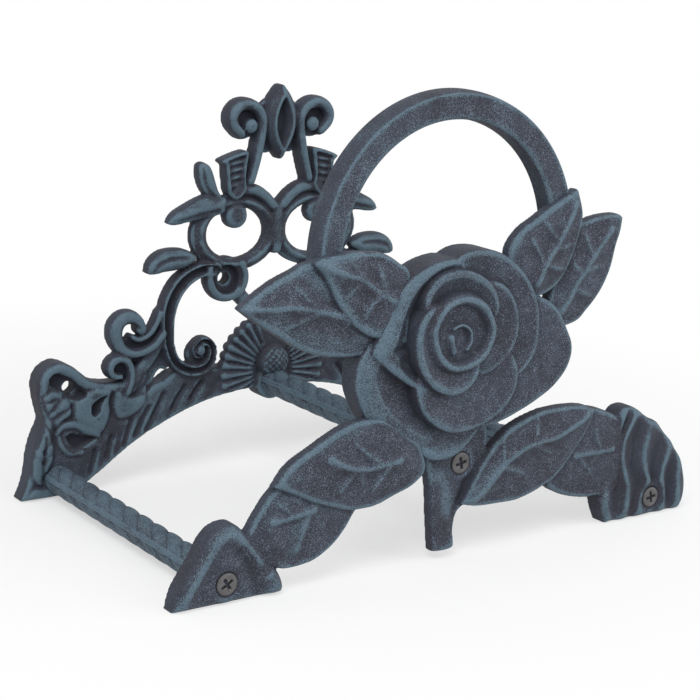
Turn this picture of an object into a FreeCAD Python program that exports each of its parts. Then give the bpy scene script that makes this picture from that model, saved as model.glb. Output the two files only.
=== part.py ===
import FreeCAD, Part
import math
import os
from FreeCAD import Placement, Rotation, Vector

# Hose hanger of cast iron: scrolled wall plate, three bars and a rose front plate.
# X runs to the right, Y towards the wall and Z up. Drawn with Z zero at the lower bars,
# then placed with the origin on the wall, midway between the two upper wall-screw holes.

doc = FreeCAD.newDocument("hose_hanger")
sheet = doc.addObject("Spreadsheet::Sheet", "sizes")

DRIVING_SIZES = {
    # bars of the cradle
    "bar_length": 141.0,
    "bar_dia": 14.0,
    "bar_spread": 115.6,
    "bar_rise": 33.5,
    # wall plate
    "back_thick": 10.0,
    "back_relief": 3.0,
    "scroll_thick": 5.0,
    "foot_drop": 9.0,
    "arch_rise": 31.8,
    "finial_rise": 179.0,
    "scroll_width": 7.0,
    "upper_hole_spread": 27.5,
    "upper_hole_rise": 87.0,
    "ear_hole_spread": 109.0,
    "ear_hole_rise": 42.5,
    "wall_hole_dia": 6.0,
    "well_depth": 2.5,
    # front plate
    "front_thick": 9.0,
    "leaf_thick": 5.0,
    "leaf_crown": 3.0,
    "fold_height": 2.5,
    "vein_width": 1.6,
    "vein_height": 0.8,
    "hoop_radius": 60.0,
    "hoop_width": 10.2,
    "hoop_depth": 9.5,
    "hoop_shift": -11.0,
    "hoop_rise": 126.3,
    "rose_shift": -5.5,
    "rose_rise": 90.5,
    "rose_height": 13.0,
    "petal_step": 2.8,
    "petal_rim": 2.2,
    # screws
    "screw_dia": 5.0,
    "screw_length": 22.0,
    "head_dia": 9.5,
    "head_height": 1.2,
    "recess_width": 1.1,
    "recess_span": 4.8,
    "recess_depth": 1.6,
    "screw_clearance": 0.15,
    "tip_room": 2.0,
    "pocket_depth": 2.0,
}
for row, (alias, value) in enumerate(DRIVING_SIZES.items(), start=1):
    sheet.set(f"A{row}", alias)
    sheet.set(f"B{row}", str(value))
    sheet.setAlias(f"B{row}", alias)
doc.recompute()


def size(alias):
    return float(getattr(sheet, alias))


bar_spread = size("bar_spread")
bar_rise = size("bar_rise")
back_thick = size("back_thick")
back_relief = size("back_relief")
front_thick = size("front_thick")
foot_level = -size("foot_drop")
front_rear = back_thick + size("bar_length")
front_face = front_rear + front_thick
leaf_thick = size("leaf_thick")
leaf_rear = front_face - leaf_thick
pocket_depth = size("pocket_depth")
bar_places = {"left": (-bar_spread, 0.0), "centre": (0.0, bar_rise), "right": (bar_spread, 0.0)}


# Drawing aids: points are (x, z) pairs, depth is the distance from the wall

def spot(point, depth=0.0):
    return Vector(point[0], -depth, point[1])


def curve_through(points):
    curve = Part.BSplineCurve()
    curve.interpolate([spot(point) for point in points])
    return curve


def places_along(points, pieces):
    """Evenly shared places on the smooth line through the points, with so many pieces to a span."""
    curve = curve_through(points)
    steps = pieces * (len(points) - 1)
    run = curve.LastParameter - curve.FirstParameter
    return curve, [curve.FirstParameter + run * step / steps for step in range(steps + 1)]


def smooth(points, pieces=2):
    """Line of short straight pieces that follows a smooth curve."""
    curve, places = places_along(points, pieces)
    return Part.makePolygon([curve.value(place) for place in places])


def straight(start, end):
    return Part.makeLine(spot(start), spot(end))


def arc(start, middle, end):
    return Part.Arc(spot(start), spot(middle), spot(end)).toShape()


def face(*edges):
    return Part.Face(Part.Wire(list(edges)))


def raised(flat, rear, height):
    shape = flat.copy()
    shape.translate(Vector(0, -rear, 0))
    return shape.extrude(Vector(0, -height, 0))


def oval(centre, reach, sides=12):
    turns = [2 * math.pi * side / sides for side in range(sides + 1)]
    return Part.Face(Part.makePolygon([spot((centre[0] + reach[0] * math.cos(turn),
                                             centre[1] + reach[1] * math.sin(turn))) for turn in turns]))


def disc(centre, radius):
    return oval(centre, (radius, radius))


def oval_ring(centre, reach, width):
    outer, inner = [oval(centre, (reach[0] + half, reach[1] + half), 16)
                    for half in (0.5 * width, -0.5 * width)]
    return outer.cut(inner)


def polar(centre, angle, radius):
    turn = math.radians(angle)
    return (centre[0] + radius * math.cos(turn), centre[1] + radius * math.sin(turn))


def ribbon(points, start_width, end_width, pieces=2):
    """Band of changing width along a smooth line through the points."""
    curve, places = places_along(points, pieces)
    left = []
    right = []
    for step, place in enumerate(places):
        middle = curve.value(place)
        heading = curve.tangent(place)[0]
        half = 0.5 * (start_width + (end_width - start_width) * step / (len(places) - 1))
        left.append(middle + Vector(-heading.z, 0, heading.x) * half)
        right.append(middle + Vector(heading.z, 0, -heading.x) * half)
    rim = left + right[::-1]
    return Part.Face(Part.makePolygon(rim + rim[:1]))


def strip(start, end, width):
    """Straight band that narrows to half its width."""
    along = end - start
    across = Vector(-along.z, 0, along.x).normalize() * (0.5 * width)
    corners = [start + across, start - across, end - across * 0.5, end + across * 0.5]
    return Part.Face(Part.makePolygon(corners + corners[:1]))


def spiral(centre, start_angle, turn, start_radius, end_radius):
    steps = max(4, round(abs(turn) / 40))
    return [polar(centre, start_angle + turn * step / steps,
                  start_radius + (end_radius - start_radius) * step / steps)
            for step in range(steps + 1)]


def mirrored(shape):
    return shape.mirror(Vector(0, 0, 0), Vector(1, 0, 0))


def both_sides(shapes):
    return shapes + [mirrored(shape) for shape in shapes]


def joined(shapes):
    whole = shapes[0]
    for shape in shapes[1:]:
        whole = whole.fuse(shape)
    return whole.removeSplitter()


def rod(centre, radius, start, length):
    return Part.makeCylinder(radius, length, spot(centre, start), Vector(0, -1, 0))


# Leaf: an outline of two bellied sides under a roof that falls from the midrib

def roof(root, tip, reach, rear, edge, crown):
    along = spot(tip) - spot(root)
    along.normalize()
    across = Vector(along.z, 0, -along.x)
    start = spot(root, rear) - along * reach
    profile = [(-reach, 0), (reach, 0), (reach, edge - crown), (0, edge + crown), (-reach, edge - crown)]
    corners = [start + across * side + Vector(0, -up, 0) for side, up in profile]
    section = Part.Face(Part.makePolygon(corners + corners[:1]))
    length = (spot(tip) - spot(root)).Length
    return section.extrude(along * (length + 2 * reach))


def leaf(root, tip, upper, lower, rear, edge, veins=1):
    crown = size("leaf_crown")
    outline = face(smooth([root] + upper + [tip]), smooth([tip] + lower + [root]))
    along = spot(tip) - spot(root)
    length = along.Length
    along.normalize()
    across = Vector(along.z, 0, -along.x)
    reach = max(abs((spot(point) - spot(root)).dot(across)) for point in upper + lower)
    blade = raised(outline, rear, 2 * edge).common(roof(root, tip, 2 * reach, rear, edge, crown))
    if not veins:
        return blade
    ribs = [strip(spot(root), spot(tip), size("vein_width"))]
    for number in range(veins):
        foot = spot(root) + along * (length * (number + 1) / (veins + 2))
        for side in (-1, 1):
            end = foot + along * (0.5 * reach) + across * (side * 0.6 * reach)
            ribs.append(strip(foot, end, size("vein_width")))
    lifted = roof(root, tip, 2 * reach, rear, edge + size("vein_height"), crown)
    inside = raised(outline, rear, 2 * edge).common(lifted)
    return blade.multiFuse([raised(rib, rear, 2 * edge).common(inside) for rib in ribs]).removeSplitter()


# Wall plate: scrollwork over an arched band between two feet



def crown_height(share):
    """Height of a part of the crown, as a share of the way from the ring to the finial's tip."""
    return crown_foot + share * (crown_top - crown_foot)


ear_x = -bar_spread
arch_foot = (ear_x + 20.6, -1.0)
arch_top = size("arch_rise")
boss_centre = (-size("upper_hole_spread"), size("upper_hole_rise"))
ring_centre = (-22.3, boss_centre[1] + 22.0)
crown_foot = ring_centre[1] + 12.0
crown_top = size("finial_rise")
ear_hole = (-size("ear_hole_spread"), size("ear_hole_rise"))
volute_centre = (-18.5, crown_height(0.707))
shell_centre = (0.0, bar_rise + 10.5)
scroll_width = size("scroll_width")
well_depth = size("well_depth")

ring_reach = (20.5, 15.6)
arm_line = [(3.0, crown_foot), (-7.0, crown_height(0.095)), (-14.5, crown_height(0.207)),
            (-12.5, crown_height(0.431)), (-9.5, crown_height(0.638))]
scroll_line = [(-36.0, boss_centre[1] + 4.5), (-46.0, boss_centre[1] + 1.0), (-53.0, boss_centre[1] - 6.0),
               (-57.5, 71.0), (-58.5, 60.0), (-55.0, 49.0), (-48.0, 43.0), (-39.5, 41.0)]
scroll_eye = (-39.5, 49.5)
curl_eye = (ear_x + 38.6, 65.5)
curl_line = [(-57.0, 76.0), (-61.0, 66.0), (-66.0, 59.8)] + spiral(curl_eye, 255.0, -250.0, 8.6, 7.2)
small_eye = (ear_x + 33.1, 47.5)


def wall_body():
    """Foot, ear and leafy field between them and the arch."""
    edge = [(ear_x - 17.4, foot_level), (ear_x - 13.4, 6.0), (ear_x - 7.0, 26.0), (ear_x - 9.0, 35.0),
            (ear_x - 10.0, 44.0), (ear_x - 3.0, 53.5), (ear_x + 8.0, 53.5), (ear_x + 18.0, 46.5),
            (ear_x + 30.0, 43.5), (ear_x + 46.0, 50.0)]
    inner = [(ear_x + 46.0, 36.0), arch_foot, (ear_x + 8.0, foot_level)]
    sides = [straight(edge[-1], inner[0]), straight(inner[0], inner[1]), straight(inner[1], inner[2]),
             straight(inner[2], edge[0])]
    return face(smooth(edge), *sides)


def arch_band():
    low = [arch_foot, (0.55 * arch_foot[0], 0.71 * arch_top), (0.0, arch_top),
           (-0.55 * arch_foot[0], 0.71 * arch_top),
           (-arch_foot[0], arch_foot[1])]
    rim = [(arch_foot[0], 26.0), (-60.0, 37.0), (0.0, bar_rise + 8.5), (60.0, 37.0), (-arch_foot[0], 26.0)]
    return face(smooth(low, 4), straight(low[-1], rim[-1]), smooth(rim[::-1], 3), straight(rim[0], low[0]))


def wall_leaves():
    """Pointed leaves that stand out from the scrolls, as root, tip, upper and lower side."""
    ring_z = ring_centre[1]
    return [
        ((-33.0, ring_z + 14.0), (-58.5, ring_z + 6.7), [(-46.0, ring_z + 14.5)], [(-46.0, ring_z + 7.3)]),
        ((-41.0, ring_z - 10.0), (-68.0, ring_z - 16.5), [(-57.0, ring_z - 7.2)], [(-58.0, ring_z - 15.4)]),
        ((-31.0, ring_z + 14.0), (-39.0, crown_height(0.393)), [(-32.0, crown_height(0.259))],
         [(-39.0, crown_height(0.224))]),
    ]


def shell_ribs():
    ribs = []
    for angle in range(100, 181, 20):
        root = polar(shell_centre, angle, 8.0)
        tip = polar(shell_centre, angle + 4.0, 31.0)
        left = polar(shell_centre, angle + 6.5, 23.0)
        right = polar(shell_centre, angle - 6.5, 23.0)
        ribs.append(Part.Face(Part.makePolygon([spot(point) for point in (root, right, tip, left, root)])))
    return ribs


def almond(top, bottom, half_width):
    belly = 0.55 * top + 0.45 * bottom
    return face(smooth([(0.0, top), (-half_width, belly), (0.0, bottom)], 3),
                smooth([(0.0, bottom), (half_width, belly), (0.0, top)], 3))


def wall_plate():
    scroll_rear = back_thick - size("scroll_thick")
    solid_half = [wall_body(), disc(small_eye, 7.2)]
    open_half = [
        oval_ring(ring_centre, ring_reach, scroll_width),
        ribbon(arm_line, scroll_width, scroll_width, 1),
        ribbon(scroll_line, scroll_width, scroll_width),
        ribbon(curl_line, 0.85 * scroll_width, 0.7 * scroll_width, 1),
        ribbon([(-24.0, crown_height(0.086)), (-25.0, crown_height(0.276)), (-27.0, crown_height(0.44))],
               13.0, 14.0, 1),
        ribbon([(-22.0, boss_centre[1] - 6.0), (-14.0, boss_centre[1] - 14.0), (-5.0, shell_centre[1] + 24.0)],
               scroll_width, scroll_width, 1),
        disc(volute_centre, 10.2),
        disc((-25.0, ring_centre[1] + 9.0), 6.0),
        disc(boss_centre, 11.5),
        disc(scroll_eye, 8.5),
        disc(polar(curl_eye, 20.0, 5.6), 3.4),
    ]
    fan = [polar(shell_centre, angle, 29.0) for angle in range(0, 181, 20)]
    fan = face(smooth(fan, 1), straight(fan[-1], fan[0]))
    seat = disc((0.0, bar_rise), 0.5 * size("bar_dia") + 1.4)
    finial = almond(crown_top, crown_height(0.397), 8.5)
    hollow = almond(crown_height(0.914), crown_height(0.483), 4.5)
    keel_line = [(0.0, ring_centre[1] - 11.0), (0.0, ring_centre[1] + 3.0), (0.0, crown_height(0.086))]
    keel = ribbon(keel_line, 9.0, 9.0, 1)
    solid_flats = [arch_band(), seat] + both_sides(solid_half)
    open_flats = [fan, keel, finial] + both_sides(open_half)
    plate = raised(solid_flats[0].multiFuse(solid_flats[1:]).removeSplitter(), 0.0, back_thick)
    plate = plate.fuse(raised(open_flats[0].multiFuse(open_flats[1:]).removeSplitter(), scroll_rear,
                              size("scroll_thick")))

    rim = 0.5 * scroll_width
    relief = [raised(flat, scroll_rear, size("scroll_thick") + back_relief) for flat in [
        ribbon(spiral(scroll_eye, 240.0, 360.0, 7.0, 2.5), rim, 0.6 * rim, 1),
        ribbon(spiral(volute_centre, -30.0, 360.0, 8.2, 3.0), rim, 0.6 * rim, 1),
    ]]
    relief += [raised(flat, scroll_rear, size("scroll_thick") + 0.6 * back_relief)
               for flat in shell_ribs()]
    relief += [leaf(root, tip, upper, lower, scroll_rear, size("scroll_thick") + 0.5 * back_relief, veins=0)
               for root, tip, upper, lower in wall_leaves()]
    relief += [raised(disc(boss_centre, 6.5), 0.0, back_thick)]
    knob = raised(disc(shell_centre, 8.5), scroll_rear, size("scroll_thick") + back_relief)
    knob = knob.fuse(raised(disc(shell_centre, 5.5), scroll_rear, size("scroll_thick") + 2 * back_relief))
    bud = raised(finial.cut(hollow), scroll_rear, size("scroll_thick") + back_relief)
    plate = plate.multiFuse(both_sides(relief) + [knob, bud])

    cuts = [raised(hollow, back_thick - back_relief, 3 * back_relief)]
    cuts += [raised(disc(bar_places["centre"], 0.55 * size("bar_dia")), back_thick, back_thick)]
    hole = 0.5 * size("wall_hole_dia")
    for centre, well in ((boss_centre, 7.2), (ear_hole, 8.0)):
        cuts += both_sides([rod(centre, hole, -1.0, back_thick + 2.0),
                            raised(disc(centre, well), back_thick - well_depth, 2 * back_thick)])
    return plate.cut(cuts).removeSplitter()


# Front plate: rose, stem, leaves, foot caps and hoop in one casting

rose_low = (size("rose_shift"), size("rose_rise"))
rose_height = size("rose_height")
petal_step = size("petal_step")
petal_lean = (-0.81 * petal_step, 0.31 * petal_step)

# Petal rims as (angle, radius) pairs about the rose's axis, from the outer layer to the inner
petal_layers = [
    [[(18, 43), (10, 50), (2, 55), (-6, 59)],
     [(-2, 58), (-15, 64), (-32, 58), (-50, 51), (-66, 44)]],
    [[(182, 47), (192, 51), (215, 52.5), (239, 54.5), (262, 55.5)],
     [(258, 55), (272, 53), (284, 47), (298, 40)],
     [(98, 34), (118, 37), (145, 39), (168, 39.5), (184, 44), (205, 35), (228, 28)],
     [(106, 31), (80, 36.5), (51, 38.5), (21, 41), (-6, 42.5), (-32, 37)]],
    [[(226, 31), (244, 37), (270, 41.5), (300, 41.5), (322, 39), (340, 32)],
     [(162, 27), (143, 28.8), (105, 30), (64, 28), (24, 21)],
     [(54, 27), (28, 31), (0, 31), (-30, 26), (-54, 22)]],
    [[(138, 21), (165, 24), (200, 24.5), (235, 26), (270, 24), (306, 18)]],
]


def petal(rim, layer):
    centre = (rose_low[0] + layer * petal_lean[0], rose_low[1] + layer * petal_lean[1])
    height = rose_height + layer * petal_step
    line = [polar(centre, angle, radius) for angle, radius in rim]
    core = 8.0
    first = polar(centre, rim[0][0], core)
    middle = polar(centre, (rim[0][0] + rim[-1][0]) / 2, core)
    last = polar(centre, rim[-1][0], core)
    flat = face(smooth(line), straight(line[-1], last), arc(last, middle, first), straight(first, line[0]))
    lip = min(radius for angle, radius in rim) - size("petal_rim")
    dish = Part.makeCone(lip, 0.2 * lip, 1.6 * petal_step, spot(centre, front_rear + height),
                         Vector(0, 1, 0))
    return raised(flat, front_rear, height).cut(dish)


def rose():
    top = len(petal_layers) - 1
    petals = [petal(rim, layer) for layer, rims in enumerate(petal_layers) for rim in rims]
    centre = (rose_low[0] + top * petal_lean[0], rose_low[1] + top * petal_lean[1])
    height = rose_height + top * petal_step
    heart = raised(oval(centre, (17.0, 17.0), 20), front_rear, height - petal_step)
    whorl = ribbon(spiral(centre, -40.0, 700.0, 15.5, 3.0), 2.6, 2.2, 1)
    return petals + [heart, raised(whorl, front_rear, height + 0.5 * petal_step)]


def front_leaves():
    left = -bar_spread
    right = bar_spread
    low = leaf_thick
    high = leaf_thick + 2.5
    return [
        leaf((-40.0, 98.0), (-113.0, 111.0), [(-62.0, 128.0), (-92.0, 123.5)],
             [(-90.0, 95.5), (-62.0, 86.5)], leaf_rear, low),
        leaf((-36.0, 106.0), (-82.0, 127.5), [(-46.0, 128.5), (-64.0, 130.8)],
             [(-72.0, 114.0), (-55.0, 96.0)], leaf_rear, high),
        leaf((28.0, 108.0), (55.0, 149.0), [(23.0, 132.5), (40.0, 142.5)],
             [(58.0, 134.0), (48.0, 110.0)], leaf_rear, high),
        leaf((44.0, 92.0), (84.5, 135.0), [(52.0, 126.0), (66.0, 135.5)],
             [(80.0, 113.0), (67.0, 94.0)], leaf_rear, low),
        leaf((-30.0, 42.0), (left + 18.6, 38.5), [(-48.0, 63.0), (-80.0, 52.5)],
             [(-78.0, 29.0), (-45.0, 23.5)], leaf_rear, high),
        leaf((-52.0, 34.0), (left + 4.0, 20.0), [(-80.0, 38.0), (left + 16.0, 35.0)],
             [(left + 32.0, 3.0), (-60.0, 17.0)], leaf_rear, low),
        leaf((2.0, 22.0), (72.0, 49.5), [(18.0, 46.0), (50.0, 55.0)],
             [(56.0, 25.0), (25.0, 13.2)], leaf_rear, high),
        leaf((46.0, 30.0), (right - 20.0, 26.0), [(66.0, 49.0), (right - 29.0, 44.0)],
             [(right - 42.0, 7.8), (54.0, 12.2)], leaf_rear, low),
    ]


# Foot caps over the ends of the lower bars, as outline and fold lines about the bar's centre
left_cap = {
    "rim": [(-23.6, foot_level), (-20.9, 0.0), (-13.6, 11.1), (-7.9, 20.4), (-1.0, 24.0), (6.0, 22.5),
            (17.2, 9.8), (24.8, 1.0), (27.5, foot_level)],
    "folds": [[(-20.5, -6.0), (-18.0, 1.0), (-13.0, 8.0)], [(-5.0, 19.0), (4.0, 19.5), (15.0, 9.0)],
              [(24.0, -6.0), (22.0, -1.0), (18.0, 5.0)]],
}
right_cap = {
    "rim": [(-30.0, foot_level), (-32.1, 9.9), (-30.0, 28.0), (-24.3, 43.0), (-17.2, 45.3), (-3.9, 38.8),
            (7.8, 30.0), (19.4, 15.3), (23.6, 4.0), (22.3, foot_level)],
    "folds": [[(-29.5, -1.0), (-30.5, 12.0), (-26.8, 28.0)], [(-18.0, 16.0), (-21.8, 27.0), (-15.0, 41.5)],
              [(-17.0, -5.0), (-15.8, 6.0), (-13.0, 13.0)], [(-2.5, 10.0), (-7.6, 21.0), (-5.0, 36.0)],
              [(5.0, 5.0), (5.5, 14.0), (10.0, 23.0)]],
}


def foot_cap(cap, x):
    """Bell-shaped foot with upright folds."""
    rim = [(x + across, up) for across, up in cap["rim"]]
    bell = raised(face(smooth(rim, 1), straight(rim[-1], rim[0])), front_rear, front_thick)
    folds = [ribbon([(x + across, up) for across, up in line], 5.0, 4.0, 1) for line in cap["folds"]]
    return bell.multiFuse([raised(fold, front_rear, front_thick + size("fold_height")) for fold in folds])


def stem():
    left = [(-19.0, 46.0), (-16.0, 24.0), (-12.5, -5.0)]
    right = [(-0.6, -5.0), (-0.3, 6.5), (1.5, 12.5), (7.0, 15.5)]
    flat = face(straight(left[0], left[1]), straight(left[1], left[2]), straight(left[2], right[0]),
                smooth(right),
                straight(right[-1], (7.0, 46.0)), straight((7.0, 46.0), left[0]))
    return raised(flat, leaf_rear, leaf_thick)


def hoop():
    centre = (size("hoop_shift"), size("hoop_rise"))
    half = 0.5 * size("hoop_width")
    turns = [2.0 + 184.0 * step / 22 for step in range(23)]
    outer = [spot(polar(centre, turn, size("hoop_radius") + half)) for turn in turns]
    inner = [spot(polar(centre, turn, size("hoop_radius") - half)) for turn in turns[::-1]]
    flat = Part.Face(Part.makePolygon(outer + inner + outer[:1]))
    bow = raised(flat, front_rear, size("hoop_depth"))
    front = front_rear + size("hoop_depth")
    ends = [spot(polar(centre, turn, size("hoop_radius")), front) for turn in (turns[0], turns[-1])]
    front_edges = [edge for edge in bow.Edges if abs(edge.BoundBox.YMax + front) < 0.01
                   and min((edge.CenterOfMass - end).Length for end in ends) > 1.0
                   and edge.BoundBox.YLength < 0.01]
    return bow.makeChamfer(0.25 * size("hoop_width"), front_edges)


def front_plate():
    centre_seat = raised(disc(bar_places["centre"], 0.6 * size("bar_dia")), front_rear, front_thick)
    return joined(rose() + front_leaves() + [
        stem(),
        centre_seat,
        hoop(),
        foot_cap(left_cap, -bar_spread),
        foot_cap(right_cap, bar_spread),
    ])


# Bars: round castings with a tapped hole in each end

def bar(name):
    x, z = bar_places[name]
    core = doc.addObject("Part::Cylinder", f"{name}_core")
    core.setExpression("Radius", "sizes.bar_dia / 2")
    core.setExpression("Height", "sizes.bar_length")
    bores = []
    for end, grip in (("back", "back_thick - sizes.pocket_depth"), ("front", "front_thick")):
        depth = f"(sizes.screw_length - sizes.head_height - (sizes.{grip}) + sizes.tip_room)"
        bore = doc.addObject("Part::Cylinder", f"{name}_{end}_bore")
        bore.setExpression("Radius", "sizes.screw_dia / 2 + sizes.screw_clearance")
        bore.setExpression("Height", depth)
        bores.append(bore)
    bores[1].setExpression("Placement.Base.z", f"sizes.bar_length - {depth}")
    pair = doc.addObject("Part::Fuse", f"{name}_bores")
    pair.Base, pair.Tool = bores
    drilled = doc.addObject("Part::Cut", f"bar_{name}")
    drilled.Base = core
    drilled.Tool = pair
    drilled.Label = f"bar_{name}"
    seat_bar(drilled, x, z)
    return drilled


def seat_bar(node, x, z):
    node.Placement = Placement(spot((x, z - size("upper_hole_rise")), back_thick),
                               Rotation(Vector(1, 0, 0), 90))


# Screws: flat round heads with a cross recess

def screw_pattern():
    head = doc.addObject("Part::Cylinder", "screw_head")
    head.setExpression("Radius", "sizes.head_dia / 2")
    head.setExpression("Height", "sizes.head_height")
    shank = doc.addObject("Part::Cylinder", "screw_shank")
    shank.setExpression("Radius", "sizes.screw_dia / 2")
    shank.setExpression("Height", "sizes.screw_length")
    blank = doc.addObject("Part::Fuse", "screw_blank")
    blank.Base = head
    blank.Tool = shank
    slots = []
    for name, across, along in (("recess_a", "recess_width", "recess_span"),
                                ("recess_b", "recess_span", "recess_width")):
        slot = doc.addObject("Part::Box", name)
        slot.setExpression("Length", f"sizes.{along}")
        slot.setExpression("Width", f"sizes.{across}")
        slot.setExpression("Height", "sizes.recess_depth")
        slot.setExpression("Placement.Base.x", f"-sizes.{along} / 2")
        slot.setExpression("Placement.Base.y", f"-sizes.{across} / 2")
        slots.append(slot)
    cross = doc.addObject("Part::Fuse", "screw_recess")
    cross.Base, cross.Tool = slots
    screw = doc.addObject("Part::Cut", "screw")
    screw.Base = blank
    screw.Tool = cross
    doc.recompute()
    return screw.Shape


def shank_holes(start, length):
    return [rod(place, 0.5 * size("screw_dia") + size("screw_clearance"), start, length)
            for place in bar_places.values()]


def head_pockets(start, depth):
    return [raised(disc(place, 0.75 * size("head_dia")), start, depth) for place in bar_places.values()]


def node(name, shape):
    part = doc.addObject("Part::Feature", name)
    part.Shape = shape
    part.Label = name
    part.Placement = Placement(Vector(0, 0, -size("upper_hole_rise")), Rotation())
    return part


def screw_set(name, pattern, face_depth, turn):
    screws = []
    for place in bar_places.values():
        screw = pattern.copy()
        screw.Placement = Placement(spot(place, face_depth), Rotation(Vector(1, 0, 0), turn))
        screws.append(screw)
    return node(name, Part.makeCompound(screws))


nodes = [
    node("back_plate", wall_plate().cut(shank_holes(0.0, back_thick) + head_pockets(0.0, pocket_depth))),
    node("front_plate", front_plate().cut(shank_holes(front_rear, front_thick)
                                          + head_pockets(front_face, 2 * front_thick))),
]
nodes += [bar(name) for name in bar_places]
pattern = screw_pattern()
nodes.append(screw_set("front_screws", pattern, front_face + size("head_height"), -90))
nodes.append(screw_set("back_screws", pattern, pocket_depth - size("head_height"), 90))
doc.recompute()

# Every object is sound before a file is written
for item in doc.Objects:
    if {"Invalid", "Error"} & set(item.State):
        raise RuntimeError(f"{item.Label} did not build")
for item in nodes:
    if item.Shape.isNull() or not item.Shape.isValid():
        raise RuntimeError(f"{item.Label} has no sound shape")
os.makedirs("parts", exist_ok=True)
for item in nodes:
    item.Shape.exportStep(f"parts/{item.Label}.step")
    print(item.Label, len(item.Shape.Solids), "solids", round(item.Shape.Volume), "mm3")
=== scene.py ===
import math
import bpy
import numpy as np
from mathutils import Matrix, Vector


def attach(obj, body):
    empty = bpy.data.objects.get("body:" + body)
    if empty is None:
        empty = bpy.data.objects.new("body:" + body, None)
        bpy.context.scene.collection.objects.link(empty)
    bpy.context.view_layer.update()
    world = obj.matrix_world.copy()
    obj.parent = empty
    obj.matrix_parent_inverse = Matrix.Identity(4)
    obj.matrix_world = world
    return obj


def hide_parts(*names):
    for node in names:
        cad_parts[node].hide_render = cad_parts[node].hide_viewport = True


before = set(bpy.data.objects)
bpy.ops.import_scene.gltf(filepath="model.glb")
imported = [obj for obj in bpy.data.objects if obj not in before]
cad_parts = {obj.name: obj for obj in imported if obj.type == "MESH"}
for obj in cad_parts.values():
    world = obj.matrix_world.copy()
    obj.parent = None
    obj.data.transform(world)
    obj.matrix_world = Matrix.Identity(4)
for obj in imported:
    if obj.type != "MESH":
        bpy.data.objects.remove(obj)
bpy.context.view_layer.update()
mm = 0.001

# drawing frame in mm: x to the right, depth away from the wall, z up from the lower bars
place = {"holeRise": 87.0, "barSpread": 115.6, "barRise": 33.5, "plateBack": 10.0, "frontRear": 151.0,
         "frontFace": 160.0, "footLevel": -9.0}
barCentres = [(-place["barSpread"], 0.0), (0.0, place["barRise"]), (place["barSpread"], 0.0)]


def rowPoints(points):  # drawing mm to row metres
    points = np.asarray(points, float)
    return np.stack([points[:, 0], -points[:, 1], points[:, 2] - place["holeRise"]], 1) * mm


# camera at the photograph's angle
view = {"eye": (-470.54, 735.09, 264.97), "turn": 35.507, "dip": 13.93, "roll": 2.473, "lens": 93.1}


def makeCamera():
    turn, dip, roll = [math.radians(view[key]) for key in ("turn", "dip", "roll")]
    forward = Vector((math.sin(turn) * math.cos(dip), math.cos(turn) * math.cos(dip), -math.sin(dip)))
    side = Vector((math.cos(turn), -math.sin(turn), 0.0))
    up = side.cross(forward)
    right = side * math.cos(roll) + up * math.sin(roll)
    up = right.cross(forward)
    camera = bpy.data.objects.new("camera", bpy.data.cameras.new("camera"))
    bpy.context.scene.collection.objects.link(camera)
    camera.data.lens = view["lens"]
    camera.data.sensor_width = 36.0
    camera.data.clip_end = 50.0
    turned = Matrix((right, up, -forward)).transposed().to_4x4()
    camera.matrix_world = Matrix.Translation(Vector(rowPoints([view["eye"]])[0])) @ turned
    bpy.context.scene.camera = camera
    print("camera placed")


# lines and outlines

def flow(points, per=6):  # smooth line through the points
    points = np.array(points, float)
    ends = np.vstack([2 * points[0] - points[1], points, 2 * points[-1] - points[-2]])
    line = []
    for a, b, c, d in zip(ends, ends[1:], ends[2:], ends[3:]):
        for t in np.arange(per) / per:
            line.append(0.5 * (2 * b + (c - a) * t + (2 * a - 5 * b + 4 * c - d) * t ** 2
                               + (3 * b - a - 3 * c + d) * t ** 3))
    line.append(points[-1])
    return np.array(line)


def pointed(*sides):  # closed outline of smooth sides that meet in corners
    return np.vstack([flow(side)[:-1] for side in sides])


def closed(points):  # closed outline without corners
    return flow(list(points) + [points[0]])[:-1]


def moved(points, shift):
    return [(x + shift[0], z + shift[1]) for x, z in points]


def lineReach(x, z, line):  # distance from a line and share of the way along it
    best = np.full(x.shape, 1e6)
    share = np.zeros(x.shape)
    count = len(line) - 1
    for i in range(count):
        ax, az = line[i][:2]
        dx, dz = line[i + 1][:2] - line[i][:2]
        t = np.clip(((x - ax) * dx + (z - az) * dz) / (dx * dx + dz * dz + 1e-9), 0, 1)
        gap = np.hypot(x - ax - t * dx, z - az - t * dz)
        near = gap < best
        best = np.where(near, gap, best)
        share = np.where(near, (i + t) / count, share)
    return best, share


def gapTo(x, z, points):  # distance from a smooth line through the points
    return lineReach(x, z, flow(points))[0]


def halfWidth(line, share):  # half a band's width, a share of the way along its line
    return 0.5 * np.interp(share, np.linspace(0, 1, len(line)), line[:, 2])


def edgeReach(x, z, outline):  # distance inside a closed outline, negative outside
    inside = np.zeros(x.shape, bool)
    for (ax, az), (bx, bz) in zip(outline, np.roll(outline, -1, 0)):
        crosses = (az > z) != (bz > z)
        inside ^= crosses & (x < (bx - ax) * (z - az) / (bz - az + 1e-12) + ax)
    reach = lineReach(x, z, np.vstack([outline, outline[:1]]))[0]
    return np.where(inside, reach, -reach)


def ease(low, high, value):
    t = np.clip((value - low) / (high - low), 0, 1)
    return t * t * (3 - 2 * t)


def pillow(reach, radius):  # quarter round from 0 at the edge to 1
    return np.sqrt(np.clip(1 - (1 - np.clip(reach / radius, 0, 1)) ** 2, 0, 1))


def rounded(reach, radius):  # how far a rounded edge drops near the rim
    return radius * (1 - pillow(reach, radius))


def bump(gap, width):
    return np.exp(-(gap / width) ** 2)


# a casting: a field that is positive inside the iron, meshed with a net of cells
meshing = {"quickStep": 1.7, "outside": -6.0, "spare": 3.0, "above": 100.0}


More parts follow.
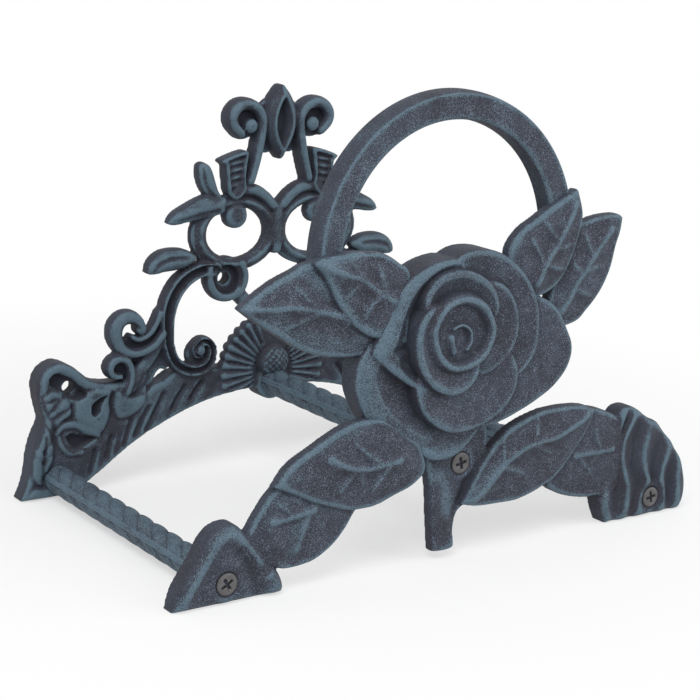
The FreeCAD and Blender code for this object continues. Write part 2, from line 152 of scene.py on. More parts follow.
class Casting:
    def __init__(self, low, high, step):
        step = step * 1.0
        self.axes = [np.linspace(a, b, round((b - a) / step) + 1) for a, b in zip(low, high)]
        self.field = np.full([len(axis) for axis in self.axes], meshing["outside"], np.float32)

    def around(self, points, spare=meshing["spare"]):  # the part of the grid near some points
        points = np.asarray(points, float)
        spans = []
        for axis, low, high in zip((0, 2), points.min(0), points.max(0)):
            first, last = np.searchsorted(self.axes[axis], (low - spare, high + spare))
            spans.append(slice(first, last))
        x, z = np.meshgrid(self.axes[0][spans[0]], self.axes[2][spans[1]], indexing="ij")
        return spans, x, z

    def within(self, outline):  # the same for a closed outline, with the distance inside it
        spans, x, z = self.around(outline)
        return spans, x, z, edgeReach(x, z, outline)

    def round(self, centre, radius):  # the same for a circle
        spans, x, z = self.around([np.subtract(centre, radius), np.add(centre, radius)])
        return spans, x, z, radius - np.hypot(x - centre[0], z - centre[1])

    def add(self, spans, reach, front, rear):
        depth = self.axes[1][None, :, None]
        front, rear = np.broadcast_to(front, reach.shape), np.broadcast_to(rear, reach.shape)
        reach, front, rear = [level[:, None, :] for level in (reach, front, rear)]
        solid = np.minimum(np.minimum(reach, front - depth), depth - rear)
        part = self.field[spans[0], :, spans[1]]
        np.maximum(part, solid, out=part)

    def cut(self, spans, reach, floor, ceiling=meshing["above"]):
        depth = self.axes[1][None, :, None]
        void = np.minimum(np.minimum(reach[:, None, :], depth - floor), ceiling - depth)
        part = self.field[spans[0], :, spans[1]]
        np.minimum(part, -void, out=part)

    def mirror(self):
        np.maximum(self.field, self.field[::-1], out=self.field)

    def net(self):  # one point in each cell that the surface crosses, one quad round each crossed edge
        field = self.field
        inside = field > 0
        corners = [(i, j, k) for i in (0, 1) for j in (0, 1) for k in (0, 1)]
        sizes = [n - 1 for n in field.shape]
        total = np.zeros(sizes, np.int8)
        for i, j, k in corners:
            total += inside[i:i + sizes[0], j:j + sizes[1], k:k + sizes[2]]
        cells = np.argwhere((total > 0) & (total < 8))
        values = np.stack([field[tuple((cells + corner).T)] for corner in corners], 1)
        spots = np.zeros((len(cells), 3))
        count = np.zeros(len(cells))
        for a in range(8):
            for b in range(a + 1, 8):
                if sum(abs(p - q) for p, q in zip(corners[a], corners[b])) != 1:
                    continue
                crossed = (values[:, a] > 0) != (values[:, b] > 0)
                t = values[:, a] / np.where(crossed, values[:, a] - values[:, b], 1.0)
                start, run = np.array(corners[a], float), np.array(corners[b], float) - corners[a]
                spots += np.where(crossed[:, None], start + t[:, None] * run, 0.0)
                count += crossed
        low = np.array([axis[0] for axis in self.axes])
        steps = np.array([axis[1] - axis[0] for axis in self.axes])
        points = low + (cells + spots / count[:, None]) * steps
        number = np.full(sizes, -1, np.int32)
        number[tuple(cells.T)] = np.arange(len(cells))
        quads = []
        for axis in range(3):
            other = [n for n in range(3) if n != axis]
            head, tail = [slice(None)] * 3, [slice(None)] * 3
            head[axis], tail[axis] = slice(0, -1), slice(1, None)
            edges = np.argwhere(inside[tuple(head)] != inside[tuple(tail)])
            edges = edges[(edges[:, other] > 0).all(1)]
            loop = []
            for shift in ((1, 1), (0, 1), (0, 0), (1, 0)):
                cell = edges.copy()
                cell[:, other[0]] -= shift[0]
                cell[:, other[1]] -= shift[1]
                loop.append(number[tuple(cell.T)])
            quad = np.stack(loop, 1)
            flip = inside[tuple(edges.T)] != (axis == 1)
            quad[~flip] = quad[~flip][:, ::-1]
            quads.append(quad)
        quads = np.vstack(quads)
        return settle(points, neighbours(quads), 1), quads


def neighbours(quads):
    pairs = np.vstack([quads[:, [i, (i + 1) % 4]] for i in range(4)])
    return np.unique(np.sort(pairs, 1), axis=0)


def settle(points, pairs, rounds, share=0.5):  # soften a net towards its neighbours
    points = points.copy()
    count = np.bincount(pairs.ravel(), minlength=len(points))[:, None]
    for _ in range(rounds):
        total = np.stack([np.bincount(pairs[:, 0], points[pairs[:, 1], i], len(points))
                          + np.bincount(pairs[:, 1], points[pairs[:, 0], i], len(points))
                          for i in range(3)], 1)
        points += share * (total / count - points)
    return points


def pointNormals(points, quads):
    a, b, c, d = [points[quads[:, i]] for i in range(4)]
    across = np.cross(c - a, d - b)
    normals = np.stack([np.bincount(quads.ravel(), np.repeat(across[:, i], 4), len(points))
                        for i in range(3)], 1)
    return normals / (np.linalg.norm(normals, axis=1)[:, None] + 1e-12)


def makePiece(name, points, faces, node, marks=None):
    mesh = bpy.data.meshes.new(name)
    mesh.from_pydata(rowPoints(points).tolist(), [], [face[::-1] for face in faces])
    mesh.shade_smooth()
    for key, values in (marks or {}).items():
        layer = mesh.attributes.new(key, "FLOAT", "POINT")
        layer.data.foreach_set("value", np.asarray(values, np.float32))
    piece = bpy.data.objects.new(name, mesh)
    bpy.context.scene.collection.objects.link(piece)
    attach(piece, "root")
    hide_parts(node)
    print(name, "has", sum(len(face) - 2 for face in faces), "triangles")
    return piece


# rubbed paint, and painted shade in the hollows, follow how far a point stands out from the shape near it
# and wide round it, in mm
rubAndHollowShade = {"nearRounds": (10, 5), "wideRounds": (90, 35), "facing": (0.1, 0.8), "sideShare": 0.25,
           "proudNear": (0.0, 0.45), "proudWide": (0.0, 1.3), "nearShare": 0.7, "hollowNear": (0.02, 0.5),
           "hollowWide": (0.1, 1.5), "hollowShare": 0.6}


def ironPiece(name, points, quads, node, sand, wideShare=0.45, strokes=(), caps=(), allRound=0.0, lift=0.0):
    pairs = neighbours(quads)
    normals = pointNormals(points, quads)
    near, wide = [((points - settle(points, pairs, rubAndHollowShade[key][0])) * normals).sum(1)
                  for key in ("nearRounds", "wideRounds")]
    facing = np.maximum(ease(*rubAndHollowShade["facing"], normals[:, 1]), allRound)
    proud = ease(*rubAndHollowShade["proudNear"], near) * rubAndHollowShade["nearShare"]
    proud = proud + ease(*rubAndHollowShade["proudWide"], wide) * wideShare + lift
    # hollow: how far a point sinks below the shape round it; it paints shade into recesses and keeps rubbed
    # teal and pale grains out of them
    hollow = ease(*rubAndHollowShade["hollowNear"], -near) + ease(*rubAndHollowShade["hollowWide"], -wide)
    for line, width, amount in strokes:
        proud = proud + amount * bump(gapTo(points[:, 0], points[:, 2], line), width)
    side = rubAndHollowShade["sideShare"]
    marks = {"proud": np.clip(proud, -1, 1) * (side + (1 - side) * facing), "facing": facing,
             "hollow": np.clip(hollow * rubAndHollowShade["hollowShare"], 0, 1),
             "sand": np.broadcast_to(sand, len(points))}
    return makePiece(name, points, quads.tolist() + list(caps), node, marks)


# leaves of the front plate: sides that meet in corners, midrib and veins, at the depth of the edge
leafShape = {"thick": 5.0, "crown": 1.7, "crownReach": 9.0, "lip": 0.55, "lipAt": 1.5, "lipWidth": 1.1,
             "rib": 2.0, "ribWidth": 2.2, "ribFade": 4.0, "vein": 0.95, "veinTaper": 0.6, "thinnest": 0.45,
             "round": 1.5}
leaves = {
    "upperLeftLow": {
        "edge": 160.0, "shift": (0, 0),
        "sides": [[(-36, 96), (-48, 87.5), (-60, 86.5), (-72, 88), (-82, 91), (-90, 95.5), (-97, 100),
                   (-105, 105), (-113, 111)],
                  [(-113, 111), (-105, 116.5), (-97, 121), (-88, 124.5), (-83, 126.5), (-70, 128),
                   (-52, 122), (-36, 96)]],
        "ribs": [[(-112, 111), (-98, 110.5), (-88, 110), (-75, 107), (-58, 102)],
                 [(-78, 108), (-84, 114), (-88, 118)], [(-76, 107), (-84, 105), (-92, 102)]],
    },
    "upperLeftHigh": {
        "edge": 164.0, "shift": (0, 0),
        "sides": [[(-34, 90), (-50, 94), (-55, 96), (-62, 101), (-69, 109), (-72, 114), (-76, 121),
                   (-81.5, 127)],
                  [(-81.5, 127), (-78, 129), (-63, 130.5), (-55, 130), (-48, 129), (-40, 124.5), (-34, 118),
                   (-34, 90)]],
        "ribs": [[(-79, 126), (-70, 123), (-60, 119.5), (-52, 114), (-44, 109.5)],
                 [(-57, 118), (-61, 122), (-64, 126)], [(-47.5, 111), (-50, 119), (-52, 125)],
                 [(-59, 119.5), (-63, 117), (-66, 113)], [(-50, 113), (-55, 109), (-57, 104)]],
    },
    "upperRightHigh": {
        "edge": 163.0, "shift": (0, 0),
        "sides": [[(24, 100), (18, 114), (18, 126), (24, 133.5), (30, 137), (37, 141), (44, 144.5),
                   (50, 147.5), (54.5, 149.5)],
                  [(54.5, 149.5), (58, 140), (58, 134), (56, 126), (53, 118), (48, 110), (41, 105),
                   (24, 100)]],
        "ribs": [[(52, 143), (47, 134), (42, 126), (37, 119), (35, 115), (33, 110)],
                 [(36, 117), (32, 124), (29, 129)], [(43, 128), (39, 132), (36, 137)],
                 [(42, 125), (47, 125), (52, 126)], [(37, 118), (43, 116), (49, 115)]],
    },
    "upperRightLow": {
        "edge": 160.0, "shift": (0, 0),
        "sides": [[(40, 86), (46, 108), (52, 126), (58, 133.5), (63, 134.5), (70, 136), (80, 136.5),
                   (85, 135)],
                  [(85, 135), (84, 128), (82, 122), (80, 113), (77, 106), (73, 100), (67, 94), (60, 89),
                   (40, 86)]],
        "ribs": [[(76, 130), (68, 121), (63, 114), (58, 108), (54, 101), (50, 96)],
                 [(61, 111), (57, 115), (54, 119)], [(67, 119), (64, 123), (62, 128)],
                 [(63, 113), (68, 114), (74, 113)], [(57, 105), (62, 103), (68, 101)]],
    },
    "lowerLeftLow": {
        "edge": 160.0, "shift": (3.3, -1.9),
        "sides": [[(-112, 17), (-108, 24), (-104, 30), (-99, 36), (-90, 42), (-70, 38), (-52, 32)],
                  [(-52, 32), (-55, 25), (-58, 21), (-62, 15), (-68, 9), (-76, 4.4), (-83, 3), (-92, 3),
                   (-102, 8), (-112, 17)]],
        "ribs": [[(-99, 25), (-90, 26), (-80, 27)], [(-82, 27), (-84, 20), (-87, 11)],
                 [(-90, 26), (-93, 29), (-96, 32)]],
    },
    "lowerLeftHigh": {
        "edge": 163.0, "shift": (1.7, -1.0),
        "sides": [[(-97.5, 38.4), (-93, 44.4), (-88, 48.4), (-80, 52.4), (-73, 56), (-65, 59.4), (-58, 61),
                   (-44, 60), (-26, 48)],
                  [(-26, 48), (-22, 36), (-28, 29.4), (-38, 26), (-48, 23), (-60, 23), (-68, 25.4),
                   (-78, 29), (-88, 34), (-97.5, 38.4)]],
        "ribs": [[(-72, 47), (-64, 43), (-56, 41), (-48, 41.4), (-38, 42)],
                 [(-60, 42), (-63, 38), (-67, 33)], [(-43, 41), (-47, 36), (-51, 31)],
                 [(-57, 42), (-57, 38), (-55, 32)], [(-47, 41.5), (-54, 47), (-60, 52)]],
    },
    "lowerRightLow": {
        "edge": 160.0, "shift": (4.6, -2.0),
        "sides": [[(42, 34), (56, 50), (66, 51), (73, 50), (81, 47), (87, 43.7), (96, 36), (98, 22)],
                  [(98, 22), (88, 9), (74, 7.7), (69, 8), (61, 9.7), (53, 12.7), (46, 18), (42, 34)]],
        "ribs": [[(60, 30), (68, 30), (75, 30), (82, 30)], [(75, 30), (73, 35), (72, 40)],
                 [(62, 30), (65, 26), (70, 21)]],
    },
    "lowerRightHigh": {
        "edge": 163.0, "shift": (2.2, -1.0),
        "sides": [[(-2, 16), (8, 34), (20, 46), (36, 52), (50, 53.5), (64, 52.5), (72, 49.5)],
                  [(72, 49.5), (68.5, 41), (62.5, 33), (55.5, 25), (49.5, 20), (45.5, 18.3), (37.5, 15.3),
                   (27.5, 13.3), (17.5, 13.6), (7.5, 14), (-2, 16)]],
        "ribs": [[(3, 17), (12, 26), (18, 32), (27, 37), (35, 39.5), (47, 40.5), (58, 44.5), (66, 48)],
                 [(17.6, 31), (18.3, 40), (19, 47)], [(17, 31.5), (25, 28.5), (32, 25)],
                 [(34.6, 39), (36.5, 45), (37, 51)], [(35, 39.5), (41, 36), (46, 34)]],
    },
}


def addLeaf(casting, leaf):
    outline = pointed(*[moved(side, leaf["shift"]) for side in leaf["sides"]])
    spans, x, z, reach = casting.within(outline)
    front = leaf["edge"] + leafShape["crown"] * ease(0, leafShape["crownReach"], reach)
    front += leafShape["lip"] * bump(reach - leafShape["lipAt"], leafShape["lipWidth"])
    ribs = np.zeros(x.shape)
    thin = leafShape["thinnest"]
    for number, rib in enumerate(leaf["ribs"]):
        gap, share = lineReach(x, z, flow(moved(rib, leaf["shift"])))
        size = leafShape["vein"] - leafShape["veinTaper"] * share if number else 1.0  # the midrib is first
        ribs = np.maximum(ribs, size * bump(gap, leafShape["ribWidth"] * (thin + (1 - thin) * size)))
    front += leafShape["rib"] * ribs * ease(0, leafShape["ribFade"], reach)
    front -= rounded(reach, leafShape["round"])
    casting.add(spans, reach, front, leaf["edge"] - leafShape["thick"])


# foot caps over the lower bars: outline and folds about the bar's centre, as (line, height, width)
caps = {
    "left": {
        "x": -place["barSpread"],
        "sides": [[(-23.6, -9), (-20.9, 0), (-13.6, 11.1), (-7.9, 20.4), (-1, 24), (6, 22.5), (17.2, 9.8),
                   (24.8, 1), (28, -6), (27, -9)], [(27, -9), (2, -9), (-23.6, -9)]],
        "folds": [([(-21, -9), (-17, 0), (-9, 12), (-4, 18.5), (2, 20), (8, 15.5), (14, 8),
                    (17, 2)], 2.0, 3.2), ([(22, -9), (22, -3), (19, 2)], 1.6, 4.0),
                  ([(-1, 12), (6, 5), (9, -5)], 0.8, 3.0),
                  ([(3, 16), (10, 7), (14, -2), (14, -9)], -1.6, 3.2)],
        "round": 4.0,
    },
    "right": {
        "x": place["barSpread"],
        "sides": [[(-27, -9), (-31, 0), (-32.1, 9.9), (-30, 28), (-24.3, 43), (-17.2, 46), (-10, 43),
                   (-3.9, 38.8), (2, 36), (7.8, 30), (15.4, 21.6), (19.4, 15.3), (23.6, 4.7), (23.4, -4),
                   (20, -9)], [(20, -9), (0, -9), (-27, -9)]],
        "crests": [[(-28, -9), (-29.8, 0), (-31, 10), (-29, 20), (-26, 28), (-22, 42)],
                   [(-17, -9), (-16.6, 0), (-17, 8), (-19, 14), (-21.8, 22), (-21.8, 30), (-18.8, 37),
                    (-13, 44)],
                   [(-7, -9), (-5, 0), (-3.5, 8), (-6, 14), (-7.8, 22), (-6.4, 30), (-3, 37), (1, 43)],
                   [(8, -9), (5.6, 3), (4.4, 10), (6, 17), (10, 24), (15, 32), (20, 40)],
                   [(17, -9), (16, 5), (17, 12), (19.4, 18), (23, 25), (30, 36)]],
        "drop": 3.4, "steep": 0.42, "round": 3.2,
    },
}
# relief of the folds, and the flat seat round a screw
capShape = {"rise": 0.5, "foldEnd": 0.14, "middle": 0.3, "rimShare": 0.25, "rimFade": (-1.0, 9.0),
            "firstRise": 4.0, "lastFold": 14.0}
seat = {"level": (0.8, 1.2), "rim": (6.0, 9.5), "wall": (5.0, 5.7)}


def addCap(casting, cap):
    outline = pointed(*[moved(side, (cap["x"], 0)) for side in cap["sides"]])
    spans, x, z, reach = casting.within(outline)
    front = np.full(x.shape, place["frontFace"] + capShape["rise"])
    if "crests" in cap:
        share = capShape["rimShare"] + (1 - capShape["rimShare"]) * ease(*capShape["rimFade"], reach)
        front += cap["drop"] * (draped(x - cap["x"], z, cap) - capShape["middle"]) * share
    for points, height, width in cap.get("folds", ()):
        gap, share = lineReach(x, z, flow(moved(points, (cap["x"], 0))))
        ends = ease(0, capShape["foldEnd"], share) * ease(0, capShape["foldEnd"], 1 - share)
        front += height * bump(gap, width) * ends
    front -= rounded(reach, cap["round"])
    casting.add(spans, reach, seated(x - cap["x"], z, front), place["frontRear"])


def draped(x, z, cap):  # each fold rises steeply to its crest and falls slowly to the next one
    lines = []
    for crest in cap["crests"]:
        line = flow(crest)
        lines.append(np.interp(z, line[:, 1], line[:, 0]))
    lines.append(lines[-1] + capShape["lastFold"])
    height = ease(-capShape["firstRise"], 0, x - lines[0])
    foot = 1 - cap["steep"]
    for left, right in zip(lines, lines[1:]):
        share = (x - left) / np.maximum(right - left, 1.0)
        fall = np.where(share < foot, ease(foot, 0, share), ease(foot, 1, share))
        height = np.where((share >= 0) & (share < 1), fall, height)
    return height


def seated(x, z, front):  # flat seat sunk round a screw
    face = place["frontFace"]
    radius = np.hypot(x, z)
    near = np.clip(front, face + seat["level"][0], face + seat["level"][1])
    front = near + (front - near) * ease(*seat["rim"], radius)
    return face + (front - face) * ease(*seat["wall"], radius)


# stem below the rose, with the boss of the upper bar
stem = {"sides": [[(-24, 52), (-16.5, 28), (-14.5, 12), (-12.5, -5)], [(-12.5, -5), (-6, -5.6), (-0.6, -5)],
                  [(-0.6, -5), (-0.3, 6.5), (2, 12.5), (9, 16)], [(9, 16), (14, 34), (10, 52), (-24, 52)]],
        "rise": 0.8, "thick": 5.0, "round": 2.2, "groove": [(7, 36), (3, 24), (-1.5, 12), (-2.5, 2)],
        "grooveDeep": 1.6, "grooveWidth": 2.2, "boss": 8.4}


def addStem(casting):
    spans, x, z, reach = casting.within(pointed(*stem["sides"]))
    front = place["frontFace"] + stem["rise"] - rounded(reach, stem["round"])
    front -= stem["grooveDeep"] * bump(gapTo(x, z, stem["groove"]), stem["grooveWidth"])
    centre = barCentres[1]
    front = seated(x - centre[0], z - centre[1], front)
    casting.add(spans, reach, front, place["frontFace"] - stem["thick"])
    spans, x, z, reach = casting.round(centre, stem["boss"])
    casting.add(spans, reach, place["frontFace"], place["frontRear"])


# dry brushing on the leaves, as (line, width, amount)
leafStrokes = [
    ([(-81, 126.5), (-74, 117.5), (-66, 107), (-58, 99.5), (-50, 96)], 3.4, 0.55),
    ([(-100, 105), (-86, 97.5), (-72, 93.5), (-58, 92)], 4.5, 0.35),
    ([(-111, 111.5), (-104, 115.5), (-96, 119.5), (-86, 123.5)], 1.8, 0.35),
    ([(19, 125), (24, 132), (36, 139), (48, 145)], 3.0, 0.25),
    ([(-95, 37), (-84, 31.5), (-74, 27.5), (-64, 24)], 2.6, 0.4),
    ([(-88, 46), (-80, 50), (-70, 54), (-60, 56)], 3.5, 0.3), ([(-82, 22), (-84, 16), (-85, 9)], 3.6, 0.4),
    ([(-10, 29), (-8, 21), (-6, 12)], 3.4, 0.4), ([(3, 16), (12, 25), (18, 31)], 3.6, 0.3),
    ([(-85, 125.5), (-76, 127.5), (-62, 129)], 2.6, 0.5), ([(102, 36), (112, 14), (118, -6)], 20.0, -0.16),
    ([(-15, 24), (-13.5, 10), (-12, -4)], 3.4, -0.5), ([(-128, -4), (-114, 4), (-100, -4)], 14.0, -0.12),
]

# rose: petals from outside to inside, with rims as (angle, radius, lip width) about a leaning axis
rose = {"centre": (-5.5, 90.5), "lean": (-0.81, 0.31), "height": 13.0, "layer": 2.8, "slope": 0.34,
        "lipCurve": 1.4, "tuck": 1.4, "tuckReach": 7.0, "round": 1.1, "reach": 66.0, "evening": 19,
        "rubAt": 0.45}
petals = [
    {"layer": 0, "drop": 0.4, "dish": 1.09, "spread": 16.1,
     "rim": [(-80, 43, 1.6), (-72, 44, 1.6), (-60, 47, 1.6), (-47, 51, 1.8), (-36, 56, 1.8), (-27, 61, 2),
             (-18, 64.4, 2), (-10, 64, 2), (-2, 59, 2), (8, 53, 1.8), (18, 44, 1.6), (24, 39, 1.6)]},
    {"layer": 1, "drop": 2.4, "dish": 3.2, "spread": 6.0, "rub": 0.45,
     "rim": [(174, 40, 5), (182, 45.5, 6), (190, 50, 8), (200, 53, 8.5), (212, 53.8, 9), (225, 54, 9.5),
             (239, 53.8, 9.5), (254, 54, 9), (264, 54.5, 7), (272, 52, 4)]},
    {"layer": 1, "drop": 2.0, "dish": 1.63, "spread": 9.2,
     "rim": [(250, 51, 2.4), (258, 54.2, 2.4), (272, 53, 2.2), (284, 47, 2), (298, 40, 2), (308, 36, 2)]},
    {"layer": 1, "drop": -0.8, "dish": 5.2, "spread": 4.4, "rub": 0.5,
     "rim": [(90, 30, 1.8), (98, 33.4, 2), (114, 35.4, 2.6), (127, 37, 3.8), (142, 38.7, 5.2),
             (158, 38.9, 5.6), (172, 40.5, 6.6), (181, 43.6, 7.6), (185, 44.6, 8), (190, 41.6, 6),
             (197, 38, 3.6), (208, 33.8, 2.2), (222, 30, 2), (236, 25, 2)]},
    {"layer": 1, "drop": 0.2, "dish": 2.86, "spread": 7.5,
     "rim": [(-42, 33, 1.6), (-34, 37.5, 1.8), (-27, 40.6, 2), (-14, 43, 2.2), (2, 42.8, 2.2),
             (14, 42.4, 2.2), (28, 41.4, 2.2), (41, 40.2, 2.2), (58, 39, 2.2), (75, 37.2, 2.2), (91, 35, 2),
             (106, 31, 1.8), (112, 28, 1.8)]},
    {"layer": 2, "drop": 0.2, "dish": 2.58, "spread": 9.8,
     "rim": [(218, 26, 1.6), (225, 30.6, 1.8), (239, 35.7, 2), (253, 39, 2.2), (267, 41.8, 2.2),
             (282, 42.6, 2.2), (296, 43, 2.2), (310, 42.8, 2.2), (322, 40.6, 2.2), (333, 35.6, 2),
             (342, 30, 1.8)]},
    {"layer": 2, "drop": 0.6, "dish": 2.72, "spread": 6.9,
     "rim": [(-66, 19, 1.6), (-57, 22.2, 1.8), (-33, 27.1, 2), (-11, 30.9, 2), (7, 31.6, 2), (30, 30.8, 2),
             (46, 28.9, 2), (58, 26, 1.8)]},
    {"layer": 2, "drop": -0.6, "dish": 3.4, "spread": 4.1,
     "rim": [(14, 18, 2), (25, 21.5, 2.4), (48, 24.8, 2.8), (72, 26.6, 3), (99, 28.6, 3), (119, 29.2, 2.8),
             (136, 27.4, 2.4), (150, 23.6, 2), (164, 19, 1.8)]},
    {"layer": 3, "drop": 0.0, "dish": 2.99, "spread": 5.8,
     "rim": [(128, 18, 1.8), (140, 20.8, 2), (160, 22.6, 2.2), (178, 23, 2.4), (199, 23.3, 2.6),
             (223, 24.2, 2.6), (246, 25.1, 2.6), (263, 25.6, 2.6), (284, 24, 2.4), (306, 19, 2),
             (318, 15, 1.8)]},
]
whorl = {"ring": [(350, 15.8), (10, 16), (46, 15.5), (84, 15.4), (120, 15.6), (152, 15.2), (179, 14.3),
                  (219, 13.5), (257, 13.6), (299, 14), (325, 15)], "ringWidth": 4.6, "ringRise": 1.2,
         "bud": [([(140, 4.8), (100, 4.3), (60, 4.5), (15, 5.4), (-27, 6.6), (-58, 7.4)], 2.6, -0.8),
                 ([(190, 4.6), (222, 5.4), (246, 7.2)], 4.4, -0.5)], "floor": -2.0, "floorReach": 18.0,
         "hollow": 1.0, "hollowReach": 12.0, "roundOver": 2.4, "deep": 8.0}


def petalPlace(layer):
    rise = layer * rose["layer"]
    centre = (rose["centre"][0] + rose["lean"][0] * rise, rose["centre"][1] + rose["lean"][1] * rise)
    return centre, place["frontRear"] + rose["height"] + rise


def addPetal(casting, petal):
    (cx, cz), top = petalPlace(petal["layer"])
    top -= petal["drop"]
    rim = flow(petal["rim"], 12)
    far = rose["reach"]
    spans, x, z = casting.around([(cx - far, cz - far), (cx + far, cz + far)], 0)
    middle = (rim[0, 0] + rim[-1, 0]) / 2
    turn = middle + (np.degrees(np.arctan2(z - cz, x - cx)) - middle + 180) % 360 - 180
    radius = np.hypot(x - cx, z - cz)
    edge, lip = [np.interp(turn, rim[:, 0], rim[:, i]) for i in (1, 2)]
    count = rose["evening"]
    slope = np.pad(np.diff(rim[:, 1]) / np.radians(np.diff(rim[:, 0])), count // 2, "edge")
    slope = np.interp(turn, rim[:-1, 0], np.convolve(slope, np.full(count, 1 / count), "valid"))
    inward = (edge - radius) / np.sqrt(1 + (slope / np.maximum(edge, 1.0)) ** 2)
    ends = np.minimum(np.radians(turn - rim[0, 0]), np.radians(rim[-1, 0] - turn)) * radius
    across = np.clip(inward / lip, 0, 1)
    front = top - rose["slope"] * lip * (1 - across) ** rose["lipCurve"]
    front -= petal["dish"] * (1 - np.exp(-np.clip(inward - lip, 0, None) / petal["spread"]))
    front -= rounded(inward, rose["round"]) + rose["tuck"] * (1 - ease(0, rose["tuckReach"], ends))
    casting.add(spans, np.minimum(inward, ends), front, place["frontRear"])


def polar(centre, spots):  # points at angles and radii round a centre
    turns, radii = np.array(spots, float).T
    turns = np.radians(turns)
    return np.stack([centre[0] + radii * np.cos(turns), centre[1] + radii * np.sin(turns)], 1)


def addRose(casting):
    for petal in petals:
        addPetal(casting, petal)
    centre, top = petalPlace(petals[-1]["layer"])
    spans, x, z, reach = casting.round(centre, whorl["floorReach"])
    floor = top + whorl["floor"] - whorl["hollow"] * ease(0, whorl["hollowReach"], reach)
    casting.add(spans, reach, floor, place["frontRear"])
    brim = closed(polar(centre, whorl["ring"]))
    lines = [(np.vstack([brim, brim[:1]]), whorl["ringWidth"], whorl["ringRise"])]
    lines += [(flow(polar(centre, spots)), width, rise) for spots, width, rise in whorl["bud"]]
    for line, width, rise in lines:
        gap = lineReach(x, z, line)[0]
        across = np.clip(gap / (0.5 * width), 0, 1)
        front = top + rise - whorl["roundOver"] * across ** 2
        casting.add(spans, 0.5 * width - gap, front, top - whorl["deep"])


def roseStrokes():  # dry brushing along the broad petal edges
    strokes = []
    for petal in petals:
        if "rub" in petal:
            centre = petalPlace(petal["layer"])[0]
            turns, radii, lips = np.array(petal["rim"], float).T
            line = polar(centre, np.stack([turns, radii - rose["rubAt"] * lips], 1))
            strokes.append((line, rose["rubAt"] * lips.mean(), petal["rub"]))
    return strokes


# nets as (low corner, high corner, step), and the right cap, whose paint has little sand in it
frontNets = {"leaves": ((-144, 149, -13), (144, 171, 154), 0.72),
             "rose": ((-74, 149, 24), (66, 178, 152), 0.62)}
smoothCap = {"from": (86, 98), "below": (54, 46), "share": 0.7}


def makeFrontPlate():
    leafWork = Casting(*frontNets["leaves"])
    for leaf in leaves.values():
        addLeaf(leafWork, leaf)
    for cap in caps.values():
        addCap(leafWork, cap)
    addStem(leafWork)
    points, quads = leafWork.net()
    smooth = ease(*smoothCap["from"], points[:, 0]) * ease(*smoothCap["below"], points[:, 2])
    sand = 1 - smoothCap["share"] * smooth
    roseWork = Casting(*frontNets["rose"])
    addRose(roseWork)
    return [ironPiece("rose_leaves", points, quads, "front_plate", sand, strokes=leafStrokes),
            ironPiece("rose", *roseWork.net(), "front_plate", 1.0, strokes=roseStrokes()), makeHoop()]


def tube(rings):  # points and quads of closed rings joined end to end, and faces that close the two ends
    count = len(rings[0])
    here = np.arange(count)
    after = (here + 1) % count
    quads = np.vstack([np.stack([r * count + here, r * count + after, (r + 1) * count + after,
                                 (r + 1) * count + here], 1) for r in range(len(rings) - 1)])
    first, last = here.tolist(), (here + (len(rings) - 1) * count).tolist()
    corner, centre = rings[0][0], rings[0].mean(0)
    if np.cross(rings[0][1] - corner, rings[1][0] - corner) @ (corner - centre) < 0:
        return np.vstack(rings), quads[:, ::-1], [first, last[::-1]]
    return np.vstack(rings), quads, [first[::-1], last]


# hoop: a D-shaped section swept round the arch
hoop = {"centre": (-11.0, 126.3), "radius": 60.3, "half": 6.1, "depth": 10.0, "sunk": 0.5,
        "ends": (-4, 190), "steps": 220, "quickSteps": 70, "arris": 0.76, "arrisStep": 6, "rub": (1.3, 0.5),
        "section": [(-1.0, 0.0), (-1.0, 0.45), (-0.98, 0.74), (-0.9, 0.88), (-0.72, 0.95), (-0.35, 0.97),
                    (0.1, 0.97), (0.5, 0.98), (0.72, 1.0), (0.8, 0.98), (0.87, 0.86), (0.95, 0.6),
                    (1.0, 0.3), (1.0, 0.0)]}


def makeHoop():
    section = flow(hoop["section"], 3)
    radius = hoop["radius"] + hoop["half"] * section[:, 0]
    depth = place["frontRear"] + hoop["sunk"] + (hoop["depth"] - hoop["sunk"]) * section[:, 1]
    (cx, cz), (start, end) = hoop["centre"], hoop["ends"]
    steps = hoop["steps"]
    rings = [np.stack([cx + radius * math.cos(turn), depth, cz + radius * math.sin(turn)], 1)
             for turn in np.radians(np.linspace(start, end, steps))]
    points, quads, ends = tube(rings)
    bright = hoop["radius"] + hoop["arris"] * hoop["half"]
    arris = polar(hoop["centre"], [(turn, bright) for turn in range(start, end + 1, hoop["arrisStep"])])
    return ironPiece("hoop", points, quads, "front_plate", 1.0, strokes=[(arris, *hoop["rub"])], caps=ends)


# bars: twisted strands with a plain band along the casting seam on either side
rope = {"radius": 6.95, "sunk": 0.45, "groove": 1.0, "strands": 4, "curve": 0.5, "lead": 50.0,
        "collar": 4.0, "seam": 2.84, "band": 0.15, "bandEdge": 0.1, "sand": 0.8, "wideShare": 0.5,
        "allRound": 0.95, "lift": 0.34, "steps": (300, 120), "quickSteps": (80, 56)}


